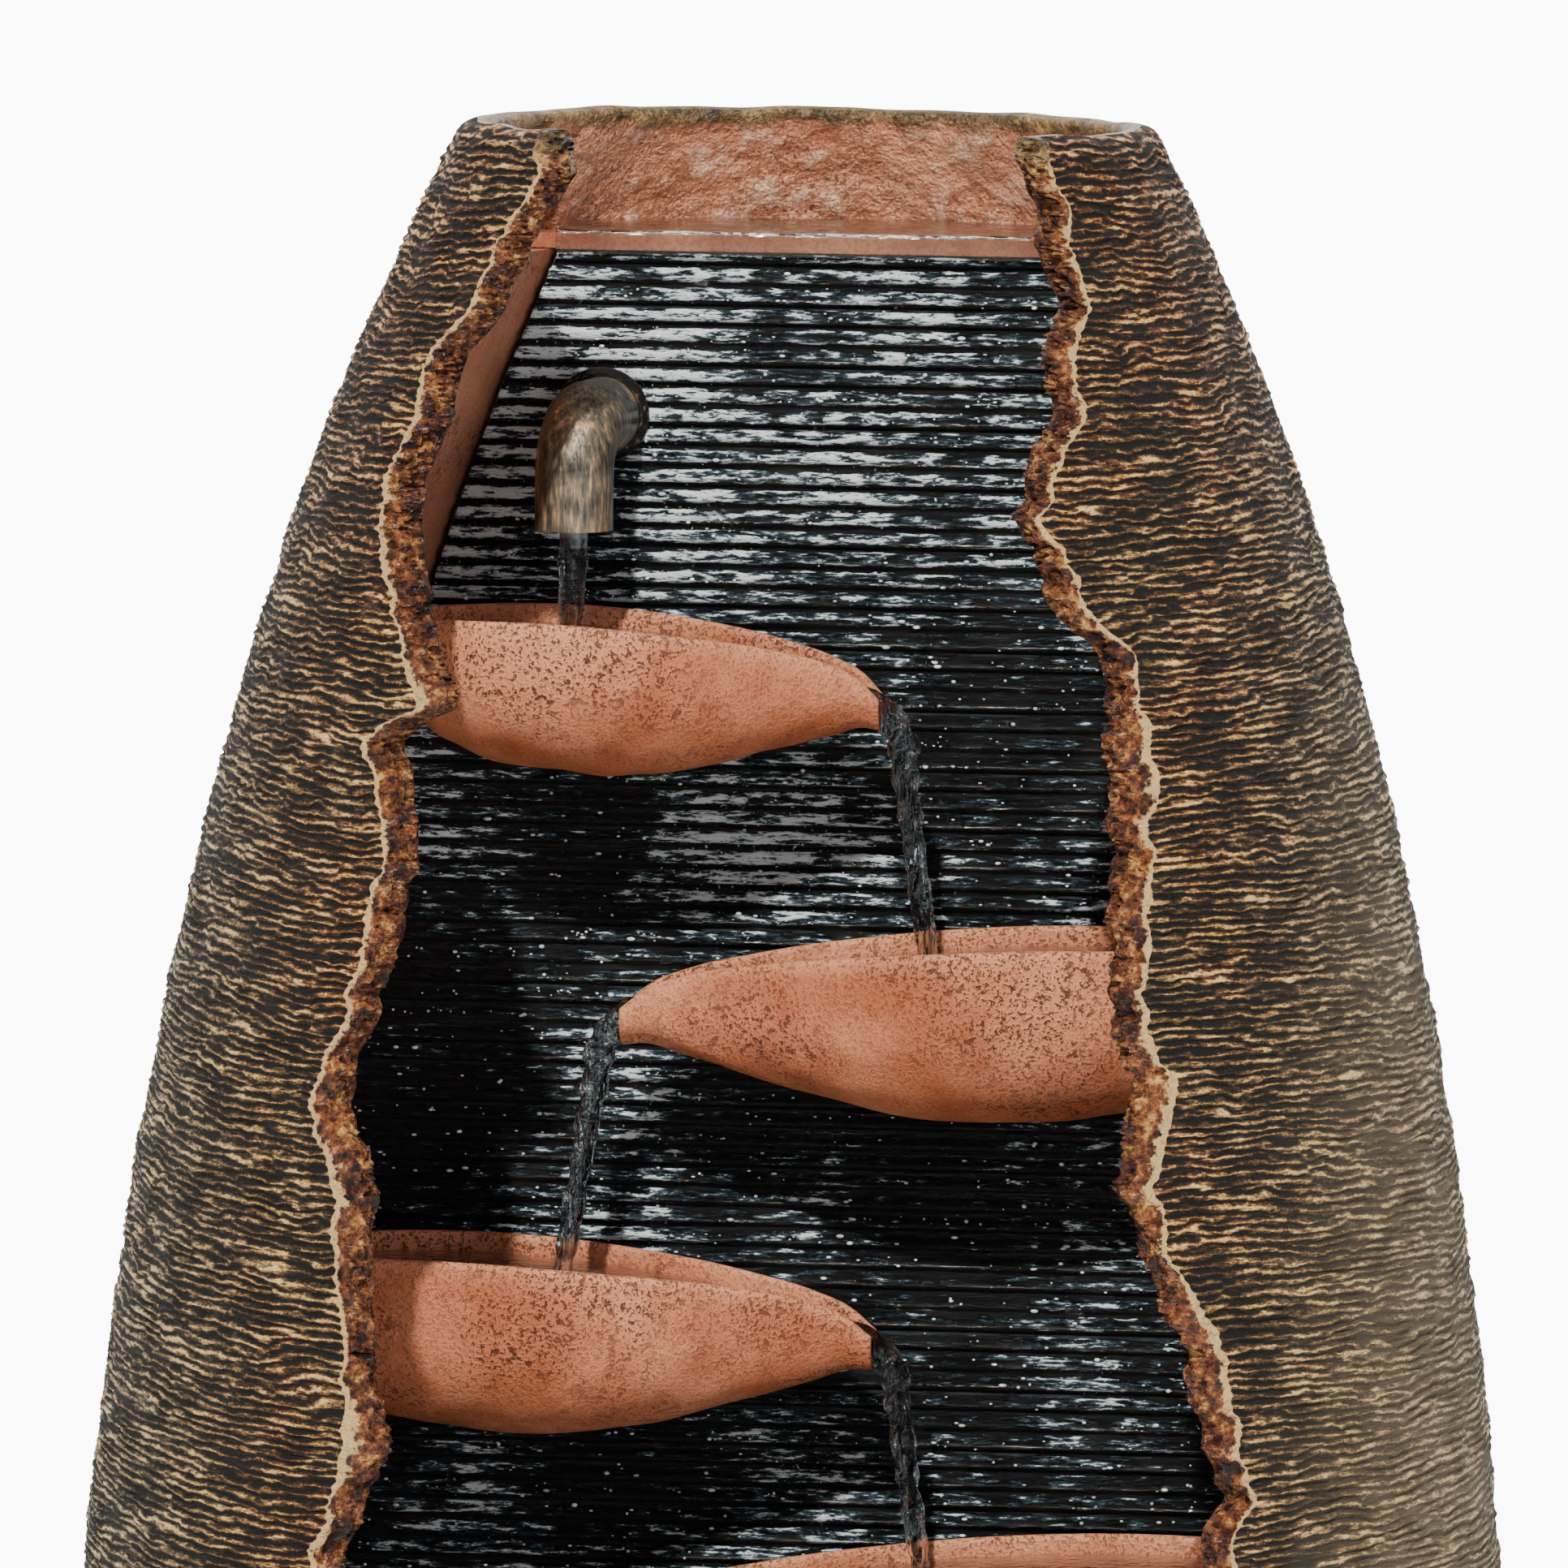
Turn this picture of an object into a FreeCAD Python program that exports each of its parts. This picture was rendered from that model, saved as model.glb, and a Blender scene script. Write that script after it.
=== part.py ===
"""Broken-jar cascade fountain: a jar in two castings with a torn-open front, a ribbed water
wall, five leaf bowls, a bronze spout and a pump chamber behind the wall.

Frame: origin under the middle of the foot, +Z up, -Y is the open front, millimetres.
"""
import FreeCAD, Part
import Sketcher
import math
import os

V = FreeCAD.Vector
X_AXIS, Y_AXIS, Z_AXIS = V(1, 0, 0), V(0, 1, 0), V(0, 0, 1)

doc = FreeCAD.newDocument("Fountain")

# ---------------------------------------------------------------- driving sizes
SIZES = [
    # jar
    ("jar_height", 1040, "rim above the ground"),
    ("foot_radius", 200, "jar radius at the ground"),
    ("belly_radius", 287.5, "widest jar radius"),
    ("belly_height", 300, "height of the widest place"),
    ("shoulder_radius", 263.5, "jar radius at the shoulder"),
    ("shoulder_drop", 424, "shoulder below the rim"),
    ("neck_radius", 210, "jar radius at the neck"),
    ("neck_drop", 183, "neck below the rim"),
    ("mouth_radius", 136.5, "jar radius at the rim"),
    ("jar_wall", 16, "horizontal thickness of the jar"),
    ("rim_chamfer", 4, "bevel of the rim"),
    ("seam_height", 250, "joint between base and shell"),
    ("lap_height", 10, "tongue standing above the seam"),
    ("joint_gap", 0.3, "clearance of bonded joints"),
    ("floor_thickness", 12, "basin floor"),
    ("foot_recess", 6, "hollow under the floor"),
    ("foot_width", 34, "width of the foot ring"),
    ("sill_rise", 66, "lowest point of the torn opening above the seam"),
    # niche
    ("wall_plane", 40, "front of the water wall, from the axis"),
    ("wall_thickness", 7.7, "water wall plate"),
    ("rib_depth", 3.5, "height of a rib"),
    ("rib_width", 6.4, "width of a rib"),
    ("rib_pitch", 8, "rib to rib"),
    ("liner_thickness", 6, "plate behind the water wall"),
    ("liner_gap", 1.5, "mortar gap between liner and jar"),
    ("cheek_back", 42, "cheek depth at the water wall"),
    ("cheek_front", 3, "cheek depth at its front edge"),
    ("cheek_reach", 96, "cheek front edge before the water wall"),
    ("side_gap", 0.5, "water wall to cheek"),
    ("pool_drop", 15, "still water of the basin below the seam"),
    ("wall_dip", 9, "water wall below the pool level"),
    # upper reservoir
    ("crest_drop", 47, "spill edge below the rim"),
    ("crest_height", 6, "thickness of the spill edge"),
    ("tray_depth", 44, "reservoir depth"),
    ("tray_wall", 6, "reservoir wall"),
    # bowls
    ("top_bowl_drop", 194, "first bowl rim below the jar rim"),
    ("last_bowl_rise", 125, "last bowl rim above the pool"),
    ("bowl_half_width", 48, "half of a bowl front to back"),
    ("bowl_depth", 72, "depth of a bowl"),
    ("top_bowl_depth", 60, "depth of the first bowl"),
    ("bowl_wall", 5, "thickness of a bowl"),
    ("bowl_back_gap", 12, "bowl to the water wall"),
    ("lip_droop", 22, "spill lip below the rim"),
    ("root_inset", 36, "bowl end to the jar wall"),
    ("left_reach", 33, "left bowls past the axis"),
    ("right_reach", 68, "right bowls past the axis"),
    ("pad_width", 70, "mounting pad of a bowl"),
    ("pad_height", 26, "height of the pad"),
    ("pad_drop", 12, "pad top below the rim"),
    ("stud_radius", 4, "M8 stud"),
    ("stud_spacing", 44, "the two studs of a bowl"),
    ("stud_depth", 12, "stud inside the pad"),
    ("stud_tail", 12, "stud behind the liner"),
    ("bolt_gap", 0.4, "clearance of through holes"),
    ("thread_gap", 0.05, "clearance of threads"),
    ("washer_radius", 9, "M8 washer"),
    ("washer_thickness", 1.6, "M8 washer"),
    ("nut_flats", 13, "M8 nut across flats"),
    ("nut_height", 6.5, "M8 nut"),
    # spout
    ("spout_x", 85, "spout left of the axis"),
    ("spout_drop", 119, "spout axis below the rim"),
    ("spout_radius", 15.5, "spout pipe outside"),
    ("spout_bore", 11, "spout pipe inside"),
    ("spout_end_wall", 4, "closed back end of the spout pipe"),
    ("spout_bend", 22, "bend radius of the spout"),
    ("spout_reach", 52, "outlet before the water wall"),
    ("spout_down", 20, "straight end of the spout"),
    ("spout_turn", 8, "degrees the outlet is turned to the left"),
    ("spout_collar", 11, "straight collar before the spout turns"),
    ("spout_tuck", 3, "turned pipe inside the collar"),
    ("tail_radius", 9.5, "threaded tail of the spout"),
    ("tail_bore", 5, "bore of the tail"),
    ("tail_length", 14, "tail behind the locknut"),
    ("rose_width", 3.5, "cover ring of the spout"),
    ("rose_thickness", 5, "cover ring of the spout"),
    ("tip_radius", 5.5, "clear tube in the outlet"),
    ("tip_bore", 4, "clear tube in the outlet"),
    ("tip_length", 14, "clear tube"),
    ("tip_show", 7, "clear tube below the spout"),
    ("gasket_thickness", 2, "flat gaskets"),
    ("locknut_flats", 30, "locknuts across flats"),
    ("locknut_height", 7, "locknuts"),
    # plumbing
    ("hose_radius", 8, "hose outside"),
    ("hose_fit", 0.1, "hose over its barb"),
    ("barb_radius", 5.4, "hose barbs"),
    ("barb_bore", 3.5, "bore of the barbs"),
    ("barb_length", 18, "hose barbs"),
    ("riser_x", 14, "riser right of the axis"),
    ("riser_back", 43, "riser behind the water wall"),
    ("tee_rise", 46, "branch of the tee above the foot of the door"),
    ("tee_half", 22, "half of the tee"),
    ("tee_radius", 11, "tee outside"),
    ("valve_length", 40, "branch valve"),
    ("valve_radius", 13, "branch valve"),
    ("stem_radius", 3, "valve stem"),
    ("stem_depth", 6, "valve stem in the valve"),
    ("lever_length", 38, "valve lever"),
    ("lever_width", 10, "valve lever"),
    ("lever_thickness", 5, "valve lever"),
    ("hose_bend", 40, "bend radius of the spout hose"),
    ("hose_side", 64, "spout hose beside the valve"),
    ("clamp_width", 7, "hose clamp band"),
    ("clamp_thickness", 1, "hose clamp band"),
    ("shank_radius", 9, "reservoir fitting"),
    ("flange_radius", 18, "reservoir fitting flange"),
    ("flange_thickness", 4, "reservoir fitting flange"),
    # pump
    ("cup_height", 8, "suction cups"),
    ("cup_radius", 9, "suction cups"),
    ("pump_width", 84, "pump body"),
    ("pump_length", 62, "pump body"),
    ("pump_height", 66, "pump body"),
    ("pump_fillet", 6, "pump body edges"),
    ("volute_radius", 26, "volute housing"),
    ("volute_depth", 18, "volute housing"),
    ("volute_wall", 4, "volute housing"),
    ("impeller_radius", 17, "impeller"),
    ("impeller_depth", 9, "impeller"),
    ("rotor_radius", 9, "magnet rotor"),
    ("rotor_length", 36, "magnet rotor"),
    ("shaft_radius", 1.5, "rotor shaft"),
    ("running_gap", 0.8, "rotor in its well"),
    ("eye_radius", 8, "pump inlet"),
    ("cover_wall", 2.5, "intake cover"),
    ("cover_depth", 9, "room inside the intake cover"),
    ("slider_travel", 12, "flow slider"),
    ("gland_radius", 6, "pump cable gland"),
    ("cable_radius", 3, "cable bore"),
    # openings at the back
    ("door_width", 150, "access door"),
    ("door_rise", 16, "access door above the lap joint"),
    ("door_height", 150, "access door"),
    ("door_gap", 1, "round the access door"),
    ("frame_ledge", 15, "ledge behind the door"),
    ("frame_thickness", 8, "frame behind the door"),
    ("screw_radius", 2.5, "door screws"),
    ("screw_head", 5, "door screws"),
    ("screw_head_height", 3, "door screws"),
    ("screw_inset", 8, "door screw to the door edge"),
    ("drain_height", 44, "drain plug"),
    ("drain_radius", 12, "drain hole"),
    ("drain_head", 17, "drain plug head"),
    ("drain_head_height", 8, "drain plug head"),
    ("spotface_depth", 4, "flat round the drain"),
    ("grommet_angle", 35, "cord hole, degrees from the back"),
    ("grommet_rise", 70, "cord hole above the seam"),
    ("grommet_hole", 9, "hole in the jar"),
    ("grommet_bore", 4.5, "hole in the grommet"),
    ("grommet_flange", 13, "grommet lips"),
    ("grommet_lip", 3, "grommet lips"),
    # screen
    ("screen_half_width", 100, "debris screen"),
    ("screen_bottom", 22, "debris screen"),
    ("screen_thickness", 3, "debris screen"),
    ("slot_width", 6, "screen slots"),
    ("slot_count", 11, "screen slots"),
    ("window_margin", 10, "liner window inside the screen"),
]

sheet = doc.addObject("Spreadsheet::Sheet", "Sizes")
size = {}
for row, (alias, value, meaning) in enumerate(SIZES, 1):
    sheet.set("A%d" % row, alias)
    sheet.set("B%d" % row, str(value))
    sheet.set("C%d" % row, meaning)
    sheet.setAlias("B%d" % row, alias)
    size[alias] = float(value)
doc.recompute()

nodes = []


def bind(item, expressions):
    """Bind properties of an object to expressions over the sheet."""
    for path, expression in expressions.items():
        item.setExpression(path, expression)
    return item


def node(item, label):
    """Give an object its node name and list it for export."""
    item.Label = label
    nodes.append(item)
    return item


def shape_node(label, shape):
    """A free-form piece, its shape made from the sheet's values."""
    feature = doc.addObject("Part::Feature", label + "_solid")
    feature.Shape = shape
    return node(feature, label)


def origin_plane(body, role):
    return [plane for plane in body.Origin.OriginFeatures if plane.Role == role][0]


def outline(body, name, plane, points):
    """A closed sketch of straight lines, each corner bound to two expressions."""
    sketch = body.newObject("Sketcher::SketchObject", name)
    sketch.AttachmentSupport = [(origin_plane(body, plane), "")]
    sketch.MapMode = "FlatFace"
    count = len(points)
    start = [V(10 + 5 * math.cos(6.283 * k / count), 10 + 5 * math.sin(6.283 * k / count), 0)
             for k in range(count)]
    for k in range(count):
        sketch.addGeometry(Part.LineSegment(start[k], start[(k + 1) % count]), False)
    for k in range(count):
        sketch.addConstraint(Sketcher.Constraint("Coincident", k, 2, (k + 1) % count, 1))
    for k, (across, along) in enumerate(points):
        index = sketch.addConstraint(Sketcher.Constraint("DistanceX", -1, 1, k, 1, start[k].x))
        sketch.setExpression("Constraints[%d]" % index, across)
        index = sketch.addConstraint(Sketcher.Constraint("DistanceY", -1, 1, k, 1, start[k].y))
        sketch.setExpression("Constraints[%d]" % index, along)
    return sketch


def circle_sketch(body, name, plane, across, along, radius):
    """A circle whose centre and radius are bound to expressions."""
    sketch = body.newObject("Sketcher::SketchObject", name)
    sketch.AttachmentSupport = [(origin_plane(body, plane), "")]
    sketch.MapMode = "FlatFace"
    sketch.addGeometry(Part.Circle(V(1, 1, 0), Z_AXIS, 2), False)
    for kind, start, expression in (("DistanceX", 1, across), ("DistanceY", 1, along)):
        index = sketch.addConstraint(Sketcher.Constraint(kind, -1, 1, 0, 3, start))
        sketch.setExpression("Constraints[%d]" % index, expression)
    index = sketch.addConstraint(Sketcher.Constraint("Radius", 0, 2))
    sketch.setExpression("Constraints[%d]" % index, radius)
    return sketch


def turned(label, points):
    """A turned piece: a half section of (radius, height) corners revolved round Z."""
    body = doc.addObject("PartDesign::Body", label + "_body")
    sketch = outline(body, label + "_section", "XZ_Plane", points)
    turn = body.newObject("PartDesign::Revolution", label + "_turn")
    turn.Profile = sketch
    turn.ReferenceAxis = (sketch, ["V_Axis"])
    turn.Angle = 360
    return body


def padded(label, points, length, plane="XY_Plane"):
    """A flat outline padded to a thickness."""
    body = doc.addObject("PartDesign::Body", label + "_body")
    sketch = outline(body, label + "_outline", plane, points)
    pad = body.newObject("PartDesign::Pad", label + "_pad")
    pad.Profile = sketch
    pad.setExpression("Length", length)
    return body


def hexagon(flats):
    """Corners of a hexagon from its width across flats."""
    return [("%s / 3 ^ 0.5 * %.9f" % (flats, math.cos(math.radians(60 * k))),
             "%s / 3 ^ 0.5 * %.9f" % (flats, math.sin(math.radians(60 * k)))) for k in range(6)]


def hex_nut(label, flats, height, bore):
    """A hexagon nut lying on XY with its bore along Z."""
    body = padded(label, hexagon(flats), height)
    doc.recompute()
    sketch = circle_sketch(body, label + "_bore_circle", "XY_Plane", "0", "0", bore)
    pocket = body.newObject("PartDesign::Pocket", label + "_bore")
    pocket.Profile = sketch
    pocket.Type = 1
    pocket.Reversed = True
    return body


def put(item, x, y, z, rotation=None):
    """Place a piece: fixed turn, and a position bound to expressions."""
    item.Placement = FreeCAD.Placement(V(0, 0, 0), rotation or FreeCAD.Rotation())
    return bind(item, {"Placement.Base.x": x, "Placement.Base.y": y, "Placement.Base.z": z})


ALONG_BACK = FreeCAD.Rotation(X_AXIS, -90)      # local Z points to +Y, local Y to -Z
ALONG_FRONT = FreeCAD.Rotation(X_AXIS, 90)      # local Z points to -Y
ALONG_LEFT = FreeCAD.Rotation(Y_AXIS, -90)      # local Z points to -X


def box(low, high):
    return Part.makeBox(high[0] - low[0], high[1] - low[1], high[2] - low[2], V(*low))


def rod(radius, start, end):
    """A cylinder from one point to another."""
    way = V(*end) - V(*start)
    return Part.makeCylinder(radius, way.Length, V(*start), way)


# ---------------------------------------------------------------- jar profile
height = size["jar_height"]
wall = size["jar_wall"]
PROFILE = [
    (size["foot_radius"], 0.0),
    (size["belly_radius"], size["belly_height"]),
    (size["shoulder_radius"], height - size["shoulder_drop"]),
    (size["neck_radius"], height - size["neck_drop"]),
    (size["mouth_radius"], height),
]


def jar_curve(inset):
    """The jar's side as one spline through the profile points, upright at the belly."""
    curve = Part.BSplineCurve()
    points = [V(radius - inset, 0, level) for radius, level in PROFILE]
    curve.interpolate(Points=points, Tangents=[Z_AXIS] * len(points),
                      TangentFlags=[point is points[1] for point in points])
    return curve


jar_side = jar_curve(0.0)


def side_parameter(level):
    """Spline parameter where the side is at a height, by halving."""
    low, high = jar_side.FirstParameter, jar_side.LastParameter
    for _ in range(60):
        middle = (low + high) / 2
        if jar_side.value(middle).z < level:
            low = middle
        else:
            high = middle
    return (low + high) / 2


def jar_radius(level):
    return jar_side.value(side_parameter(level)).x


def inner_radius(level):
    return jar_radius(level) - wall


def side_edge(inset, low, high):
    """Edge of the profile between two heights, moved in by inset."""
    return jar_curve(inset).toShape(side_parameter(low), side_parameter(high))


def revolve(edges):
    """Revolve a closed chain of edges round Z."""
    face = Part.Face(Part.Wire(Part.__sortEdges__(edges)))
    solid = face.revolve(V(0, 0, 0), Z_AXIS, 360)
    if solid.Volume < 0:
        solid.reverse()
    return solid


def lines(points):
    """Straight edges through (radius, height) corners."""
    return [Part.makeLine(V(a[0], 0, a[1]), V(b[0], 0, b[1])) for a, b in zip(points, points[1:])]


def interior(gap, low, high):
    """The room inside the jar between two heights, less a gap at the wall."""
    inset = wall + gap
    edge = side_edge(inset, low, high)
    bottom = jar_radius(low) - inset
    top = jar_radius(high) - inset
    return revolve([edge] + lines([(top, high), (0, high), (0, low), (bottom, low)]))


# ---------------------------------------------------------------- heights that pieces share
gap = size["joint_gap"]
seam = size["seam_height"]
lap_top = seam + size["lap_height"]
floor_top = size["foot_recess"] + size["floor_thickness"]
plane = size["wall_plane"]
wall_back = plane + size["wall_thickness"]
liner_front = wall_back + gap
liner_back = liner_front + size["liner_thickness"]
pool_level = seam - size["pool_drop"]
crest_top = height - size["crest_drop"]
crest_low = crest_top - size["crest_height"]
tray_low = crest_top - size["tray_depth"]
wall_top = crest_low - size["side_gap"]
wall_low = pool_level - size["wall_dip"]
rib_tip = plane - size["rib_depth"]
spout_level = height - size["spout_drop"]
outlet_y = plane - size["spout_reach"]
riser_y = plane + size["riser_back"]
riser_x = size["riser_x"]

# ---------------------------------------------------------------- jar
lap_radius = jar_radius(seam) - wall / 2
foot = size["foot_radius"]
base_shape = revolve(
    [side_edge(0, size["rim_chamfer"], seam), side_edge(wall, floor_top, lap_top)]
    + lines([(jar_radius(seam), seam), (lap_radius, seam), (lap_radius, lap_top),
             (inner_radius(lap_top), lap_top)])
    + lines([(inner_radius(floor_top), floor_top), (0, floor_top), (0, size["foot_recess"]),
             (foot - size["foot_width"], size["foot_recess"]), (foot - size["foot_width"], 0),
             (foot - size["rim_chamfer"], 0), (jar_radius(size["rim_chamfer"]), size["rim_chamfer"])]))

chamfer = size["rim_chamfer"]
shell_shape = revolve(
    [side_edge(0, seam + gap, height - chamfer), side_edge(wall, lap_top + gap, height - chamfer)]
    + lines([(jar_radius(height - chamfer), height - chamfer), (jar_radius(height) - chamfer, height),
             (inner_radius(height) + chamfer, height),
             (inner_radius(height - chamfer), height - chamfer)])
    + lines([(inner_radius(lap_top + gap), lap_top + gap), (lap_radius + gap, lap_top + gap),
             (lap_radius + gap, seam + gap), (jar_radius(seam + gap), seam + gap)]))

# The torn edge: angle round the jar from the front in degrees (+ to the right), and height as
# a share of the way from the sill to the rim. Broken faces run straight out from the axis.
TORN_LEFT = [
    (-45.0, 1.000), (-40.4, 0.978), (-40.0, 0.962), (-44.6, 0.940), (-45.4, 0.905), (-50.0, 0.884),
    (-48.6, 0.850), (-50.7, 0.812), (-47.0, 0.780), (-41.5, 0.741), (-36.4, 0.700), (-43.0, 0.680),
    (-39.2, 0.648), (-37.0, 0.614), (-38.0, 0.562), (-41.4, 0.490), (-36.4, 0.442), (-34.6, 0.390),
    (-33.2, 0.330), (-34.0, 0.275), (-37.5, 0.228), (-32.5, 0.180), (-35.5, 0.132), (-27.0, 0.078),
    (-14.0, 0.028)]
TORN_RIGHT = [
    (46.0, 1.000), (47.6, 0.968), (45.0, 0.944), (45.6, 0.912), (41.2, 0.885), (42.2, 0.864),
    (37.2, 0.842), (33.4, 0.805), (35.4, 0.768), (40.5, 0.738), (42.0, 0.697), (42.3, 0.668),
    (40.4, 0.648), (40.6, 0.622), (36.9, 0.561), (39.4, 0.515), (36.5, 0.462), (38.2, 0.420),
    (43.6, 0.362), (44.6, 0.300), (42.0, 0.243), (45.0, 0.200), (37.5, 0.150), (29.0, 0.092),
    (16.0, 0.040)]
TORN_SILL = (1.5, 0.0)
sill = seam + size["sill_rise"]
CUT_INSIDE = 60.0
cut_outside = 1.9 * max(size["belly_radius"], size["shoulder_radius"])
cut_over = 60.0


def torn_point(radius, angle, level):
    turn = math.radians(angle)
    return V(radius * math.sin(turn), -radius * math.cos(turn), level)


def torn_chain(chain):
    """Angle and height of one side of the tear, starting above the rim."""
    points = [(angle, sill + share * (height - sill)) for angle, share in chain + [TORN_SILL]]
    return [(points[0][0], height + cut_over)] + points


def torn_cutter():
    """Closed polyhedron whose sides run out from the axis through the torn edge."""
    left, right = torn_chain(TORN_LEFT), torn_chain(TORN_RIGHT)
    triangles = []
    for chain in (left, right):
        for (a, low), (b, high) in zip(chain, chain[1:]):
            inner_a, inner_b = torn_point(CUT_INSIDE, a, low), torn_point(CUT_INSIDE, b, high)
            outer_a, outer_b = torn_point(cut_outside, a, low), torn_point(cut_outside, b, high)
            triangles += [(inner_a, inner_b, outer_b), (inner_a, outer_b, outer_a)]
    for radius in (CUT_INSIDE, cut_outside):
        i = j = 0
        while i < len(left) - 1 or j < len(right) - 1:
            next_left = left[i + 1][1] if i < len(left) - 1 else -1e9
            next_right = right[j + 1][1] if j < len(right) - 1 else -1e9
            corner_l, corner_r = torn_point(radius, *left[i]), torn_point(radius, *right[j])
            if next_left >= next_right:
                i += 1
                third = torn_point(radius, *left[i])
            else:
                j += 1
                third = torn_point(radius, *right[j])
            if min((third - corner_l).Length, (third - corner_r).Length) > 1e-6:
                triangles.append((corner_l, corner_r, third))
    top = [torn_point(r, chain[0][0], chain[0][1]) for r, chain in
           ((CUT_INSIDE, left), (cut_outside, left), (cut_outside, right), (CUT_INSIDE, right))]
    triangles += [(top[0], top[1], top[2]), (top[0], top[2], top[3])]
    faces = [Part.Face(Part.makePolygon(list(t) + [t[0]])) for t in triangles]
    solid = Part.makeSolid(Part.makeShell(faces))
    if solid.Volume < 0:
        solid.reverse()
    return solid


# Cord hole: straight out through the wall beside the door.
grommet_z = seam + size["grommet_rise"]
grommet_turn = math.radians(180 - size["grommet_angle"])
grommet_way = V(math.sin(grommet_turn), -math.cos(grommet_turn), 0)
grommet_root = grommet_way * (inner_radius(grommet_z) - 20) + V(0, 0, grommet_z)
grommet_drill = Part.makeCylinder(size["grommet_hole"], 60, grommet_root, grommet_way)
grommet_drill.rotate(grommet_root, grommet_way, 90)
shell_shape = shell_shape.cut(grommet_drill)

shell_shape = shell_shape.cut(torn_cutter())

# Access door at the back: the piece of shell inside a straight rearward cut.
half_door = size["door_width"] / 2
door_low = lap_top + size["door_rise"]
door_high = door_low + size["door_height"]
far = 2 * size["belly_radius"]
door_gap = size["door_gap"]
door_cut = box((-half_door, 0, door_low), (half_door, far, door_high))
door_shape = shell_shape.common(
    box((-half_door + door_gap, 0, door_low + door_gap), (half_door - door_gap, far, door_high - door_gap)))
shell_shape = shell_shape.cut(door_cut)

ledge = size["frame_ledge"]
frame_block = box((-half_door - ledge, 0, door_low - ledge), (half_door + ledge, far, door_high + ledge)).cut(
    box((-half_door + ledge, -1, door_low + ledge), (half_door - ledge, far + 1, door_high - ledge)))
frame_skin = interior(gap, door_low - 2 * ledge, door_high + 2 * ledge).cut(
    interior(gap + size["frame_thickness"], door_low - 3 * ledge, door_high + 3 * ledge))

inset = size["screw_inset"]
screw_shapes, seat_drills, frame_drills = [], [], []
for x in (-half_door + inset, half_door - inset):
    for z in (door_low + inset, door_high - inset):
        surface = math.sqrt(jar_radius(z) ** 2 - x ** 2)
        seat = surface - 2 * size["screw_head_height"]
        tip = surface - wall - size["frame_thickness"]
        shank, head = size["screw_radius"], size["screw_head"]
        seat_drills.append(rod(shank + size["bolt_gap"], (x, tip, z), (x, far, z)))
        seat_drills.append(rod(head + size["bolt_gap"], (x, seat, z), (x, far, z)))
        drill = rod(shank + size["thread_gap"], (x, tip - wall, z), (x, far, z))
        drill.rotate(V(x, 0, z), V(0, 1, 0), 90)
        frame_drills.append(drill)
        head_top = seat + size["screw_head_height"]
        screw = rod(shank, (x, tip, z), (x, seat, z)).fuse(rod(head, (x, seat, z), (x, head_top, z)))
        slot = box((x - head, head_top - 1, z - 0.6), (x + head, head_top + 1, z + 0.6))
        screw_shapes.append(screw.cut(slot).removeSplitter())

door_shape = door_shape.cut(seat_drills)
frame_shape = frame_skin.common(frame_block)
for drill in frame_drills:
    frame_shape = frame_shape.cut(drill)

# Drain through the base, with a flat for the gasket.
drain_z = size["drain_height"]
drain_seat = jar_radius(drain_z) - size["spotface_depth"]
base_shape = base_shape.cut(rod(size["drain_radius"], (0, drain_seat - 2 * wall, drain_z), (0, far, drain_z)))
base_shape = base_shape.cut(rod(size["drain_head"] + 2, (0, drain_seat, drain_z), (0, far, drain_z)))

shape_node("jar_base", base_shape)
shape_node("jar_shell", shell_shape)
shape_node("door_frame", frame_shape)
shape_node("access_door", door_shape)
shape_node("door_screws", Part.makeCompound(screw_shapes))

# ---------------------------------------------------------------- bowls: where they stand
# Bowls step down left, right, left ... in these shares of the way from the first to the last.
BOWL_STEPS = [0.0, 0.255, 0.519, 0.755, 1.0]
first_rim = height - size["top_bowl_drop"]
last_rim = pool_level + size["last_bowl_rise"]
bowl_y = plane - size["bowl_back_gap"] - size["bowl_half_width"]


def bowl_place(index):
    """Side (-1 left), rim height, closed end, spill lip and depth of one bowl."""
    side = -1 if index % 2 == 0 else 1
    rim = first_rim - BOWL_STEPS[index] * (first_rim - last_rim)
    root = side * (inner_radius(rim) - size["root_inset"])
    lip = -side * (size["left_reach"] if side < 0 else size["right_reach"])
    depth = size["top_bowl_depth"] if index == 0 else size["bowl_depth"]
    return side, rim, root, lip, depth


PAD_SHARE = 0.42


def stud_places():
    """Axis points (x, z) of every bowl stud."""
    places = []
    for index in range(len(BOWL_STEPS)):
        side, rim, root, lip, depth = bowl_place(index)
        middle = root + PAD_SHARE * (lip - root)
        level = rim - size["pad_drop"] - size["pad_height"] / 2
        places += [(middle - size["stud_spacing"] / 2, level), (middle + size["stud_spacing"] / 2, level)]
    return places


# ---------------------------------------------------------------- niche liner and water wall
STATIONS = 15


def cheek_inner(level):
    """Half width between the cheeks at the water wall."""
    return inner_radius(level) - size["cheek_back"]


def station_levels(low, high):
    return [low + (high - low) * k / (STATIONS - 1) for k in range(STATIONS)]


def cheek(side):
    """Slanted side of the niche: quadrilateral sections stacked from the pool to the crest."""
    front = plane - size["cheek_reach"]
    wires = []
    for level in station_levels(wall_low, wall_top):
        room = inner_radius(level) - size["liner_gap"]
        front_x = math.sqrt(room ** 2 - front ** 2)
        back_x = math.sqrt(room ** 2 - liner_front ** 2)
        corners = [V(side * cheek_inner(level), liner_front, level),
                   V(side * (front_x - size["cheek_front"]), front, level),
                   V(side * front_x, front, level), V(side * back_x, liner_front, level)]
        wires.append(Part.makePolygon(corners + [corners[0]]))
    return Part.makeLoft(wires, True, True)


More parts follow.
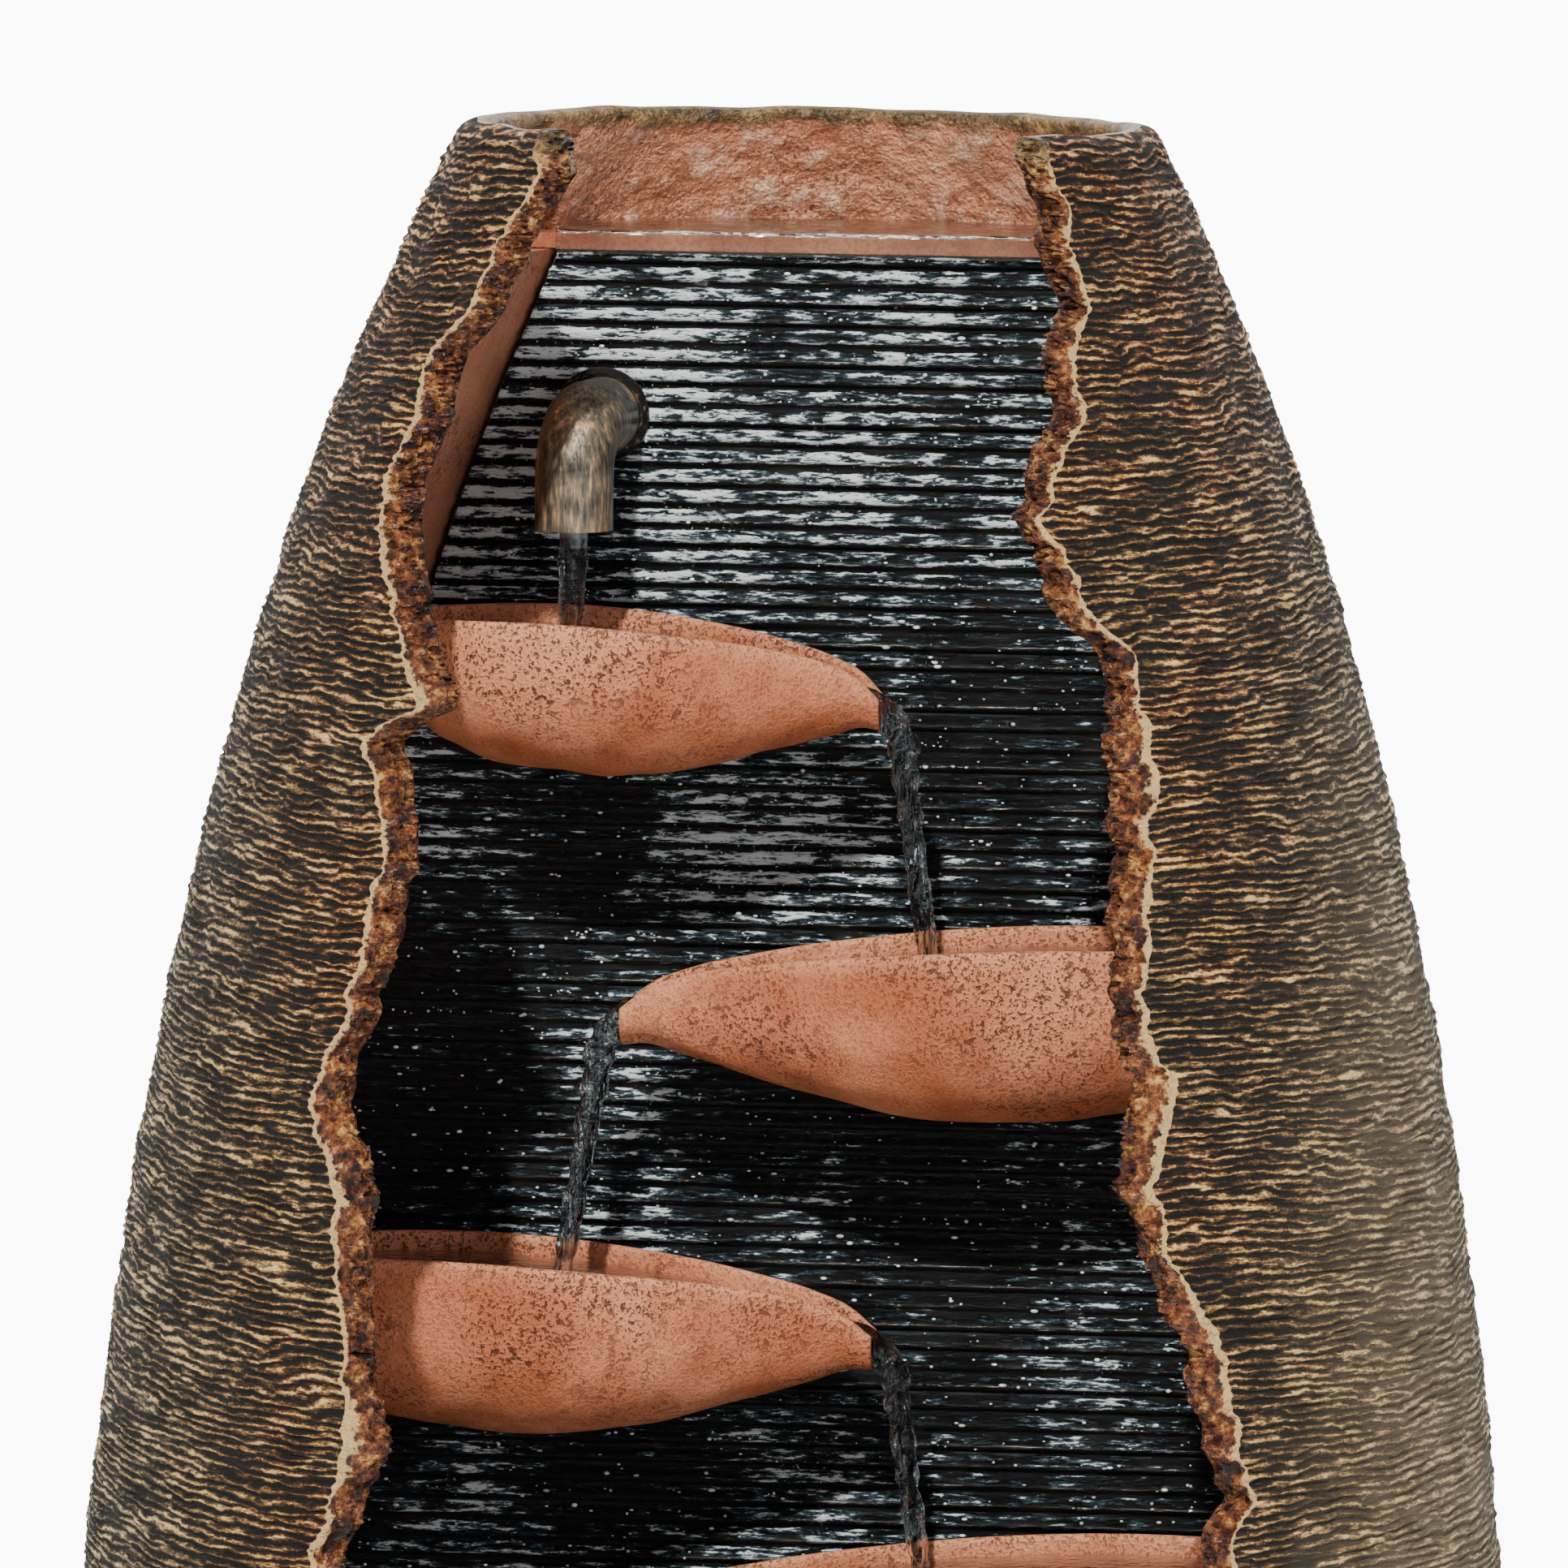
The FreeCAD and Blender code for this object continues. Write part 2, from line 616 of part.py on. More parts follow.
window_low = size["screen_bottom"] + size["window_margin"]
window_high = wall_low - 2 * size["window_margin"]
window_half = size["screen_half_width"] - size["window_margin"]
plate_top = tray_low - size["side_gap"]
liner_shape = interior(size["liner_gap"], floor_top + gap, plate_top).common(
    box((-far, liner_front, 0), (far, liner_back, height)))
liner_shape = liner_shape.fuse([cheek(-1), cheek(1)]).removeSplitter()
liner_shape = liner_shape.cut(
    box((-window_half, liner_front - 1, window_low), (window_half, liner_back + 1, window_high)))

rib_count = int((wall_top - wall_low - size["rib_pitch"]) // size["rib_pitch"])
rib_edges = []
level = wall_low
for k in range(rib_count):
    start = wall_low + size["rib_pitch"] * (k + 0.5)
    end = start + size["rib_width"]
    rib_edges.append(Part.makeLine(V(0, plane, level), V(0, plane, start)))
    middle = V(0, rib_tip, (start + end) / 2)
    rib_edges.append(Part.Arc(V(0, plane, start), middle, V(0, plane, end)).toShape())
    level = end
rib_edges += [Part.makeLine(V(0, plane, level), V(0, plane, wall_top)),
              Part.makeLine(V(0, plane, wall_top), V(0, wall_back, wall_top)),
              Part.makeLine(V(0, wall_back, wall_top), V(0, wall_back, wall_low)),
              Part.makeLine(V(0, wall_back, wall_low), V(0, plane, wall_low))]
ribbed = Part.Face(Part.Wire(rib_edges)).extrude(V(2 * far, 0, 0))
ribbed.translate(V(-far, 0, 0))
edge_points = [V(cheek_inner(z) - size["side_gap"], 0, z) for z in station_levels(wall_low, wall_top)]
mirrored = [V(-p.x, 0, p.z) for p in reversed(edge_points)]
wall_outline = Part.Face(Part.makePolygon(edge_points + mirrored + [edge_points[0]]))
wall_shape = ribbed.common(wall_outline.extrude(V(0, 2 * plane, 0)))

hole = size["stud_radius"] + size["bolt_gap"]
for x, z in stud_places():
    drill = rod(hole, (x, rib_tip - 1, z), (x, liner_back + 1, z))
    liner_shape = liner_shape.cut(drill)
    wall_shape = wall_shape.cut(drill)
spout_drill = rod(size["tail_radius"] + size["bolt_gap"],
                  (-size["spout_x"], rib_tip - 1, spout_level),
                  (-size["spout_x"], liner_back + 1, spout_level))
liner_shape = liner_shape.cut(spout_drill)
wall_shape = wall_shape.cut(spout_drill)
shape_node("niche_liner", liner_shape)
shape_node("ripple_wall", wall_shape)

# ---------------------------------------------------------------- upper reservoir
mortar = size["liner_gap"]
tray_wall = size["tray_wall"]
tray_rim = crest_low + size["crest_height"] / 2
tray_shape = interior(mortar, tray_low, tray_rim).common(box((-far, liner_front, 0), (far, far, height)))
tray_shape = tray_shape.cut(interior(mortar + tray_wall, tray_low + tray_wall, tray_rim + 1).common(
    box((-far, liner_front + tray_wall, 0), (far, far, height))))
crest = interior(mortar, crest_low, crest_top).common(
    box((-far, rib_tip, 0), (far, liner_front + tray_wall, height)))
tray_shape = tray_shape.fuse(crest).removeSplitter()
tray_shape = tray_shape.cut(rod(size["shank_radius"] + size["bolt_gap"],
                                (riser_x, riser_y, tray_low - 1),
                                (riser_x, riser_y, tray_low + tray_wall + 1)))
shape_node("upper_reservoir", tray_shape)

# ---------------------------------------------------------------- bowls
# Along a bowl from its closed end (0) to its lip (1): share of the half width, and share of
# the depth that the underside has reached.
BOWL_FORM = [(0.0, 0.10, 0.14), (0.05, 0.50, 0.46), (0.15, 0.82, 0.76), (0.27, 0.96, 0.93), (0.40, 1.0, 1.0),
             (0.52, 0.95, 0.98), (0.65, 0.78, 0.86), (0.79, 0.52, 0.66), (0.90, 0.33, 0.55),
             (1.0, 0.26, 0.54)]
DROOP_START = 0.4
LIP_OVER = 1.06
HOLLOW_OVER = 0.01


def bowl_section(x, half, top, bottom):
    """U section across a bowl: half an ellipse closed by a straight top."""
    ring = [V(x, bowl_y + half * math.cos(math.pi * k / 8), top - (top - bottom) * math.sin(math.pi * k / 8))
            for k in range(9)]
    curve = Part.BSplineCurve()
    curve.interpolate(ring)
    return Part.Wire([curve.toShape(), Part.makeLine(ring[-1], ring[0])])


def bowl_shape(index):
    """Leaf-shaped scoop: lofted outside, mounting pad, and the hollow cut out of both."""
    side, rim, root, lip, depth = bowl_place(index)
    thick = size["bowl_wall"]
    outer, inner = [], []
    for place, width, sink in BOWL_FORM:
        x = root + place * (lip - root)
        late = max(0.0, (place - DROOP_START) / (1 - DROOP_START))
        top = rim - size["lip_droop"] * late ** 2
        half = width * size["bowl_half_width"]
        bottom = rim - sink * depth
        outer.append(bowl_section(x, half, top, bottom))
        if place > 0:
            end_wall = thick * math.copysign(1 - place, lip - root) if place < 0.1 else 0
            cut_x = root + LIP_OVER * (lip - root) if place == 1 else x + end_wall
            inner.append(bowl_section(cut_x, half - thick, top + HOLLOW_OVER, bottom + thick))
    body = Part.makeLoft(outer, True, False)
    hollow = Part.makeLoft(inner, True, False)
    middle = root + PAD_SHARE * (lip - root)
    pad_top = rim - size["pad_drop"]
    pad = box((middle - size["pad_width"] / 2, bowl_y, pad_top - size["pad_height"]),
              (middle + size["pad_width"] / 2, rib_tip, pad_top))
    solid = body.fuse(pad).cut(hollow)
    for x, z in stud_places()[2 * index:2 * index + 2]:
        solid = solid.cut(rod(size["stud_radius"] + size["thread_gap"],
                              (x, rib_tip - size["stud_depth"], z), (x, rib_tip + 1, z)))
    return solid


for index in range(len(BOWL_STEPS)):
    shape_node("bowl_%d" % (index + 1), bowl_shape(index))

stud_end = liner_back + size["stud_tail"]
studs = [rod(size["stud_radius"], (x, rib_tip - size["stud_depth"], z), (x, stud_end, z))
         for x, z in stud_places()]
shape_node("bowl_studs", Part.makeCompound(studs))
washer_back = liner_back + size["washer_thickness"]
ring_bore = size["stud_radius"] + size["thread_gap"]
washers, nuts = [], []
for x, z in stud_places():
    washers.append(rod(size["washer_radius"], (x, liner_back, z), (x, washer_back, z)).cut(
        rod(ring_bore, (x, liner_back - 1, z), (x, washer_back + 1, z))))
    corner = size["nut_flats"] / math.sqrt(3)
    ring = [V(x + corner * math.cos(math.radians(60 * k)), washer_back,
              z + corner * math.sin(math.radians(60 * k)))
            for k in range(7)]
    nut = Part.Face(Part.makePolygon(ring)).extrude(V(0, size["nut_height"], 0))
    nuts.append(nut.cut(rod(ring_bore, (x, washer_back - 1, z), (x, stud_end + 1, z))))
shape_node("bowl_washers", Part.makeCompound(washers))
shape_node("bowl_nuts", Part.makeCompound(nuts))

# ---------------------------------------------------------------- spout
# Elbow from Part primitives: two straight pipes and a quarter torus, bored through, with a tail.
SPOUT_LEVEL = "Sizes.jar_height - Sizes.spout_drop"
SPOUT_FLAT = "(Sizes.spout_reach - Sizes.rib_depth - Sizes.spout_bend - Sizes.spout_collar)"
spout_yaw = FreeCAD.Rotation(Z_AXIS, -size["spout_turn"])


def spout_point(distance):
    """Expressions for x and y at a distance from the collar along the turned spout."""
    return ("-Sizes.spout_x - (%s) * sin(Sizes.spout_turn * 1 deg)" % distance,
            "Sizes.wall_plane - Sizes.rib_depth - Sizes.spout_collar - (%s) * cos(Sizes.spout_turn * 1 deg)"
            % distance)


OUTLET_X, OUTLET_Y = spout_point(SPOUT_FLAT + " + Sizes.spout_bend")
OUTLET_Z = SPOUT_LEVEL + " - Sizes.spout_bend - Sizes.spout_down"


def elbow_parts(name, radius, end_wall):
    """Collar, turned pipe, quarter bend and pipe down; end_wall is left solid at the back."""
    collar = cylinder(name + "_collar", radius, "Sizes.spout_collar - %s" % end_wall, "-Sizes.spout_x",
                      "Sizes.wall_plane - Sizes.rib_depth - %s" % end_wall, SPOUT_LEVEL, ALONG_FRONT)
    flat = doc.addObject("Part::Cylinder", name + "_flat")
    x, y = spout_point("-Sizes.spout_tuck")
    put(flat, x, y, SPOUT_LEVEL, spout_yaw.multiply(ALONG_FRONT))
    bind(flat, {"Radius": radius, "Height": SPOUT_FLAT + " + Sizes.spout_tuck"})
    bend = doc.addObject("Part::Torus", name + "_bend")
    bend.Angle3 = 90
    x, y = spout_point(SPOUT_FLAT)
    put(bend, x, y, SPOUT_LEVEL + " - Sizes.spout_bend",
        spout_yaw.multiply(FreeCAD.Rotation(V(0, 0, 1), V(0, -1, 0), V(1, 0, 0), "ZYX")))
    bind(bend, {"Radius1": "Sizes.spout_bend", "Radius2": radius})
    drop = cylinder(name + "_drop", radius, "Sizes.spout_down", OUTLET_X, OUTLET_Y, OUTLET_Z)
    return [collar, flat, bend, drop]


def cylinder(name, radius, length, x, y, z, rotation=None):
    item = doc.addObject("Part::Cylinder", name)
    put(item, x, y, z, rotation)
    return bind(item, {"Radius": radius, "Height": length})


def fuse(name, parts):
    item = doc.addObject("Part::MultiFuse", name)
    item.Shapes = parts
    return item


def cut(name, base, tool):
    item = doc.addObject("Part::Cut", name)
    item.Base = base
    item.Tool = tool
    return item


LINER_BACK = "Sizes.wall_plane + Sizes.wall_thickness + Sizes.joint_gap + Sizes.liner_thickness"
tail = cylinder("spout_tail", "Sizes.tail_radius",
                LINER_BACK + " + Sizes.gasket_thickness + Sizes.locknut_height + Sizes.joint_gap"
                " - Sizes.wall_plane + Sizes.rib_depth",
                "-Sizes.spout_x", "Sizes.wall_plane - Sizes.rib_depth", SPOUT_LEVEL, ALONG_BACK)
barb = cylinder("spout_barb", "Sizes.barb_radius",
                LINER_BACK + " + Sizes.tail_length + Sizes.barb_length - Sizes.wall_plane + Sizes.rib_depth",
                "-Sizes.spout_x", "Sizes.wall_plane - Sizes.rib_depth", SPOUT_LEVEL, ALONG_BACK)
tail_bore = cylinder("spout_tail_bore", "Sizes.barb_bore",
                     LINER_BACK + " + Sizes.tail_length + Sizes.barb_length - Sizes.wall_plane"
                     " + 2 * Sizes.spout_bend",
                     "-Sizes.spout_x", "Sizes.wall_plane - Sizes.spout_bend + 1", SPOUT_LEVEL, ALONG_BACK)
elbow_outside = fuse("spout_outside", elbow_parts("spout_pipe", "Sizes.spout_radius", "0") + [tail, barb])
elbow_inside = fuse("spout_inside", elbow_parts("spout_hollow", "Sizes.spout_bore", "Sizes.spout_end_wall")
                    + [tail_bore])
elbow = cut("spout_elbow_cut", elbow_outside, elbow_inside)
node(elbow, "spout_elbow")

rose = turned("spout_escutcheon", [
    ("Sizes.spout_radius + Sizes.joint_gap", "0"), ("Sizes.spout_radius + Sizes.rose_width", "0"),
    ("Sizes.spout_radius + Sizes.rose_width", "Sizes.rose_thickness * 0.4"),
    ("Sizes.spout_radius + Sizes.joint_gap + 1", "Sizes.rose_thickness"),
    ("Sizes.spout_radius + Sizes.joint_gap", "Sizes.rose_thickness")])
put(rose, "-Sizes.spout_x", "Sizes.wall_plane - Sizes.rib_depth", SPOUT_LEVEL, ALONG_FRONT)
node(rose, "spout_escutcheon")

seal = turned("spout_gasket", [
    ("Sizes.tail_radius + Sizes.joint_gap", "0"), ("Sizes.locknut_flats / 2", "0"),
    ("Sizes.locknut_flats / 2", "Sizes.gasket_thickness"),
    ("Sizes.tail_radius + Sizes.joint_gap", "Sizes.gasket_thickness")])
put(seal, "-Sizes.spout_x", LINER_BACK, SPOUT_LEVEL, ALONG_BACK)
node(seal, "spout_gasket")

locknut = hex_nut("spout_locknut", "Sizes.locknut_flats", "Sizes.locknut_height",
                  "Sizes.tail_radius + Sizes.thread_gap")
put(locknut, "-Sizes.spout_x", LINER_BACK + " + Sizes.gasket_thickness", SPOUT_LEVEL, ALONG_BACK)
node(locknut, "spout_locknut")

tip = turned("spout_tip", [
    ("Sizes.tip_bore", "0"), ("Sizes.tip_radius", "0"), ("Sizes.tip_radius", "Sizes.tip_show"),
    ("Sizes.spout_bore - Sizes.thread_gap", "Sizes.tip_show"),
    ("Sizes.spout_bore - Sizes.thread_gap", "Sizes.tip_length"), ("Sizes.tip_bore", "Sizes.tip_length")])
put(tip, OUTLET_X, OUTLET_Y, OUTLET_Z + " - Sizes.tip_show")
node(tip, "spout_nozzle_tube")

# ---------------------------------------------------------------- reservoir inlet fitting
RISER_Y = "Sizes.wall_plane + Sizes.riser_back"
TRAY_LOW = "Sizes.jar_height - Sizes.crest_drop - Sizes.tray_depth"
fitting = turned("inlet_bulkhead", [
    ("Sizes.barb_bore", "Sizes.tray_wall + Sizes.flange_thickness"),
    ("Sizes.barb_bore", "-Sizes.barb_length - 2 * Sizes.locknut_height"),
    ("Sizes.barb_radius", "-Sizes.barb_length - 2 * Sizes.locknut_height"),
    ("Sizes.barb_radius", "-2 * Sizes.locknut_height"), ("Sizes.shank_radius", "-2 * Sizes.locknut_height"),
    ("Sizes.shank_radius", "Sizes.tray_wall"), ("Sizes.flange_radius", "Sizes.tray_wall"),
    ("Sizes.flange_radius", "Sizes.tray_wall + Sizes.flange_thickness")])
put(fitting, "Sizes.riser_x", RISER_Y, TRAY_LOW)
node(fitting, "inlet_bulkhead")
seal = turned("inlet_gasket", [
    ("Sizes.shank_radius + Sizes.joint_gap", "-Sizes.gasket_thickness"),
    ("Sizes.flange_radius", "-Sizes.gasket_thickness"), ("Sizes.flange_radius", "0"),
    ("Sizes.shank_radius + Sizes.joint_gap", "0")])
put(seal, "Sizes.riser_x", RISER_Y, TRAY_LOW)
node(seal, "inlet_gasket")
nut = hex_nut("inlet_nut", "Sizes.locknut_flats", "Sizes.locknut_height",
              "Sizes.shank_radius + Sizes.thread_gap")
put(nut, "Sizes.riser_x", RISER_Y, TRAY_LOW + " - Sizes.gasket_thickness - Sizes.locknut_height")
node(nut, "inlet_nut")

# ---------------------------------------------------------------- tee and branch valve
TEE_Z = "(Sizes.seam_height + Sizes.lap_height + Sizes.door_rise + Sizes.tee_rise)"
barb_reach = "2 * Sizes.tee_half + 2 * Sizes.barb_length"
run = cylinder("tee_run", "Sizes.tee_radius", "2 * Sizes.tee_half", "Sizes.riser_x", RISER_Y,
               TEE_Z + " - Sizes.tee_half")
barbs = cylinder("tee_barbs", "Sizes.barb_radius", barb_reach, "Sizes.riser_x", RISER_Y,
                 TEE_Z + " - Sizes.tee_half - Sizes.barb_length")
branch = cylinder("tee_branch", "Sizes.tee_radius", "Sizes.tee_half", "Sizes.riser_x", RISER_Y, TEE_Z,
                  ALONG_LEFT)
tee_solid = fuse("tee_outside", [run, barbs, branch])
run_bore = cylinder("tee_run_bore", "Sizes.barb_bore", barb_reach, "Sizes.riser_x", RISER_Y,
                    TEE_Z + " - Sizes.tee_half - Sizes.barb_length")
branch_bore = cylinder("tee_branch_bore", "Sizes.barb_bore", "Sizes.tee_half", "Sizes.riser_x", RISER_Y,
                       TEE_Z, ALONG_LEFT)
node(cut("tee_bored", tee_solid, fuse("tee_bores", [run_bore, branch_bore])), "tee_fitting")

VALVE_X = "Sizes.riser_x - Sizes.tee_half"
STEM_X = VALVE_X + " - Sizes.valve_length / 2"
BOSS_Y = RISER_Y + " + Sizes.valve_radius + 2"
housing = cylinder("valve_housing", "Sizes.valve_radius", "Sizes.valve_length", VALVE_X, RISER_Y, TEE_Z,
                   ALONG_LEFT)
valve_barb = cylinder("valve_barb", "Sizes.barb_radius", "Sizes.valve_length + Sizes.barb_length",
                      VALVE_X, RISER_Y, TEE_Z, ALONG_LEFT)
boss = cylinder("valve_boss", "2 * Sizes.stem_radius + 1", "Sizes.valve_radius + 2", STEM_X, RISER_Y, TEE_Z,
                ALONG_BACK)
valve_bore = cylinder("valve_bore", "Sizes.barb_bore", "Sizes.valve_length + Sizes.barb_length",
                      VALVE_X, RISER_Y, TEE_Z, ALONG_LEFT)
stem_well = cylinder("valve_stem_well", "Sizes.stem_radius + Sizes.thread_gap", "Sizes.stem_depth + 1",
                     STEM_X, BOSS_Y + " - Sizes.stem_depth", TEE_Z, ALONG_BACK)
node(cut("valve_bored", fuse("valve_outside", [housing, valve_barb, boss]),
         fuse("valve_bores", [valve_bore, stem_well])), "valve_body")

stem = cylinder("lever_stem", "Sizes.stem_radius",
                "Sizes.stem_depth + Sizes.lever_thickness - Sizes.joint_gap",
                STEM_X, BOSS_Y + " - Sizes.stem_depth + Sizes.joint_gap", TEE_Z, ALONG_BACK)
hub = cylinder("lever_hub", "Sizes.lever_width / 2 + 2", "Sizes.lever_thickness", STEM_X,
               BOSS_Y + " + Sizes.joint_gap", TEE_Z, ALONG_BACK)
lever = doc.addObject("Part::Box", "lever_arm")
put(lever, STEM_X + " - Sizes.lever_length", BOSS_Y + " + Sizes.joint_gap",
    TEE_Z + " - Sizes.lever_width / 2")
bind(lever, {"Length": "Sizes.lever_length", "Width": "Sizes.lever_thickness", "Height": "Sizes.lever_width"})
node(fuse("lever_solid", [stem, hub, lever]), "valve_handle")

# ---------------------------------------------------------------- pump
PUMP_X = "Sizes.riser_x - Sizes.impeller_radius + Sizes.rotor_radius / 3"
FLOOR = "Sizes.foot_recess + Sizes.floor_thickness"
PUMP_Z = FLOOR + " + Sizes.cup_height + Sizes.pump_height / 2"
FACE_Y = RISER_Y + " + Sizes.volute_depth / 2"
pump_x = riser_x - size["impeller_radius"] + size["rotor_radius"] / 3
pump_low = floor_top + size["cup_height"]
pump_z = pump_low + size["pump_height"] / 2
face_y = riser_y + size["volute_depth"] / 2

block = doc.addObject("Part::Box", "pump_block")
put(block, PUMP_X + " - Sizes.pump_width / 2", FACE_Y, FLOOR + " + Sizes.cup_height")
bind(block, {"Length": "Sizes.pump_width", "Width": "Sizes.pump_length", "Height": "Sizes.pump_height"})
rounded = doc.addObject("Part::Fillet", "pump_rounded")
rounded.Base = block
doc.recompute()
long_edges = [k for k, edge in enumerate(block.Shape.Edges, 1)
              if abs(edge.Vertexes[0].Y - edge.Vertexes[-1].Y) > size["pump_length"] / 2]
rounded.Edges = [(k, size["pump_fillet"], size["pump_fillet"]) for k in long_edges]
well = cylinder("rotor_well", "Sizes.rotor_radius + Sizes.running_gap",
                "Sizes.rotor_length + 2 * Sizes.running_gap", PUMP_X, FACE_Y, PUMP_Z, ALONG_BACK)
bearing = cylinder("shaft_bearing", "Sizes.shaft_radius + Sizes.thread_gap",
                   "Sizes.rotor_length + 8 * Sizes.shaft_radius", PUMP_X, FACE_Y, PUMP_Z, ALONG_BACK)
node(cut("pump_bored", rounded, fuse("pump_wells", [well, bearing])), "pump_body")

shell = cylinder("volute_shell", "Sizes.volute_radius", "Sizes.volute_depth", PUMP_X, FACE_Y, PUMP_Z,
                 ALONG_FRONT)
outlet = cylinder("volute_outlet", "Sizes.barb_radius + 2", "Sizes.volute_radius + 4", "Sizes.riser_x",
                  RISER_Y, PUMP_Z)
spigot = cylinder("volute_spigot", "Sizes.barb_radius", "Sizes.volute_radius + 4 + Sizes.barb_length",
                  "Sizes.riser_x", RISER_Y, PUMP_Z)
chamber = cylinder("volute_chamber", "Sizes.volute_radius - Sizes.volute_wall",
                   "Sizes.volute_depth - Sizes.volute_wall", PUMP_X, FACE_Y, PUMP_Z, ALONG_FRONT)
eye = cylinder("volute_eye", "Sizes.eye_radius", "Sizes.volute_depth + 1", PUMP_X, FACE_Y, PUMP_Z,
               ALONG_FRONT)
delivery = cylinder("volute_delivery", "Sizes.barb_bore", "Sizes.volute_radius + 5 + Sizes.barb_length",
                    "Sizes.riser_x", RISER_Y, PUMP_Z)
node(cut("volute_bored", fuse("volute_outside", [shell, outlet, spigot]),
         fuse("volute_inside", [chamber, eye, delivery])), "volute_cover")

# Impeller: hub and back plate turned as one, blades patterned round the axis.
wheel = turned("impeller_wheel", [
    ("Sizes.shaft_radius + Sizes.joint_gap", "0"), ("Sizes.impeller_radius", "0"),
    ("Sizes.impeller_radius", "1.5"), ("Sizes.shaft_radius + 3", "1.5"),
    ("Sizes.shaft_radius + 3", "Sizes.impeller_depth"),
    ("Sizes.shaft_radius + Sizes.joint_gap", "Sizes.impeller_depth")])
blade_outline = outline(wheel, "blade_outline", "XY_Plane", [
    ("Sizes.shaft_radius + 2", "-0.8"), ("Sizes.impeller_radius - 0.5", "1.7"),
    ("Sizes.impeller_radius - 0.5", "3.3"), ("Sizes.shaft_radius + 2", "0.8")])
blade = wheel.newObject("PartDesign::Pad", "impeller_blade")
blade.Profile = blade_outline
blade.setExpression("Length", "Sizes.impeller_depth")
doc.recompute()
blades = wheel.newObject("PartDesign::PolarPattern", "impeller_blades")
blades.Originals = [blade]
blades.Axis = (blade_outline, ["N_Axis"])
blades.Angle = 360
blades.Occurrences = 6
wheel.Tip = blades
put(wheel, PUMP_X, FACE_Y + " - 2 * Sizes.running_gap", PUMP_Z, ALONG_FRONT)
node(wheel, "impeller")

magnet = turned("magnet_rotor", [
    ("Sizes.shaft_radius + Sizes.joint_gap", "0"), ("Sizes.rotor_radius", "0"),
    ("Sizes.rotor_radius", "Sizes.rotor_length + Sizes.running_gap"),
    ("Sizes.shaft_radius + Sizes.joint_gap", "Sizes.rotor_length + Sizes.running_gap")])
put(magnet, PUMP_X, FACE_Y + " - 2 * Sizes.running_gap", PUMP_Z, ALONG_BACK)
node(magnet, "magnet_rotor")
shaft = cylinder("shaft_rod", "Sizes.shaft_radius",
                 "Sizes.rotor_length + Sizes.impeller_depth + 4 * Sizes.shaft_radius",
                 PUMP_X, FACE_Y + " - 2 * Sizes.running_gap - Sizes.impeller_depth", PUMP_Z, ALONG_BACK)
node(shaft, "impeller_shaft")

# Intake cover: a five-sided box clipped round the volute, slotted at the front.
cover_wall = size["cover_wall"]
cover_front = face_y - size["volute_depth"] - size["cover_depth"] - cover_wall
half_pump = size["pump_width"] / 2
pump_high = pump_low + size["pump_height"]
cover = box((pump_x - half_pump, cover_front, pump_low), (pump_x + half_pump, face_y, pump_high))
cover = cover.cut(box((pump_x - half_pump + cover_wall, cover_front + cover_wall, pump_low + cover_wall),
                      (pump_x + half_pump - cover_wall, face_y + 1, pump_high - cover_wall)))
spigot_room = size["hose_radius"] + size["bolt_gap"]
cover = cover.cut(box((riser_x - spigot_room, riser_y - spigot_room, pump_high - 2 * cover_wall),
                      (riser_x + spigot_room, face_y + 1, pump_high + 1)))
slot = size["slot_width"] * 0.6
for k in range(-4, 5):
    middle = pump_x + k * size["pump_width"] / 11
    cover = cover.cut(box((middle - slot / 2, cover_front - 1, pump_low + 3 * cover_wall),
                          (middle + slot / 2, cover_front + cover_wall + 1, pump_high - 3 * cover_wall)))
travel = size["slider_travel"]
neck = 1.5
slide_y = cover_front + cover_wall + size["cover_depth"] / 2 + neck
slide_low = pump_z - travel
side_x = pump_x + half_pump
cover = cover.cut(box((side_x - cover_wall - 1, slide_y - neck - 0.3, slide_low - neck - 0.3),
                      (side_x + 1, slide_y + neck + 0.3, slide_low + neck + travel + 0.3)))
shape_node("pump_intake_cover", cover)
slider_half = 4.0
slider = box((side_x + gap, slide_y - slider_half, slide_low - slider_half),
             (side_x + gap + 2, slide_y + slider_half, slide_low + slider_half))
slider = slider.fuse([
    box((side_x - cover_wall - gap - 1, slide_y - neck, slide_low - neck),
        (side_x + gap + 1, slide_y + neck, slide_low + neck)),
    box((side_x - cover_wall - gap - 1.5, slide_y - neck - 1, slide_low - neck - 1),
        (side_x - cover_wall - gap, slide_y + neck + 1, slide_low + neck + 1)),
    box((side_x + gap + 2, slide_y - slider_half, slide_low - 1),
        (side_x + gap + 5, slide_y + slider_half, slide_low + 1))]).removeSplitter()
shape_node("flow_slider", slider)
foam_edge = cover_wall + 3 * gap + 1.5
shape_node("pump_foam", box(
    (pump_x - half_pump + foam_edge, cover_front + cover_wall + gap, pump_low + cover_wall + gap),
    (pump_x + half_pump - foam_edge, face_y - size["volute_depth"] - gap, pump_high - cover_wall - gap)))

cups = []
for k, (x_side, y_share) in enumerate(((-1, 0.2), (1, 0.2), (-1, 0.8), (1, 0.8))):
    cup = doc.addObject("Part::Cone", "cup_%d" % k)
    put(cup, PUMP_X + " + %d * (Sizes.pump_width / 2 - Sizes.cup_radius - 3)" % x_side,
        FACE_Y + " + %.1f * Sizes.pump_length" % y_share, FLOOR)
    bind(cup, {"Radius1": "Sizes.cup_radius", "Radius2": "Sizes.cup_radius / 2",
               "Height": "Sizes.cup_height"})
    cups.append(cup)
cup_group = doc.addObject("Part::Compound", "cup_group")
cup_group.Links = cups
node(cup_group, "suction_cups")

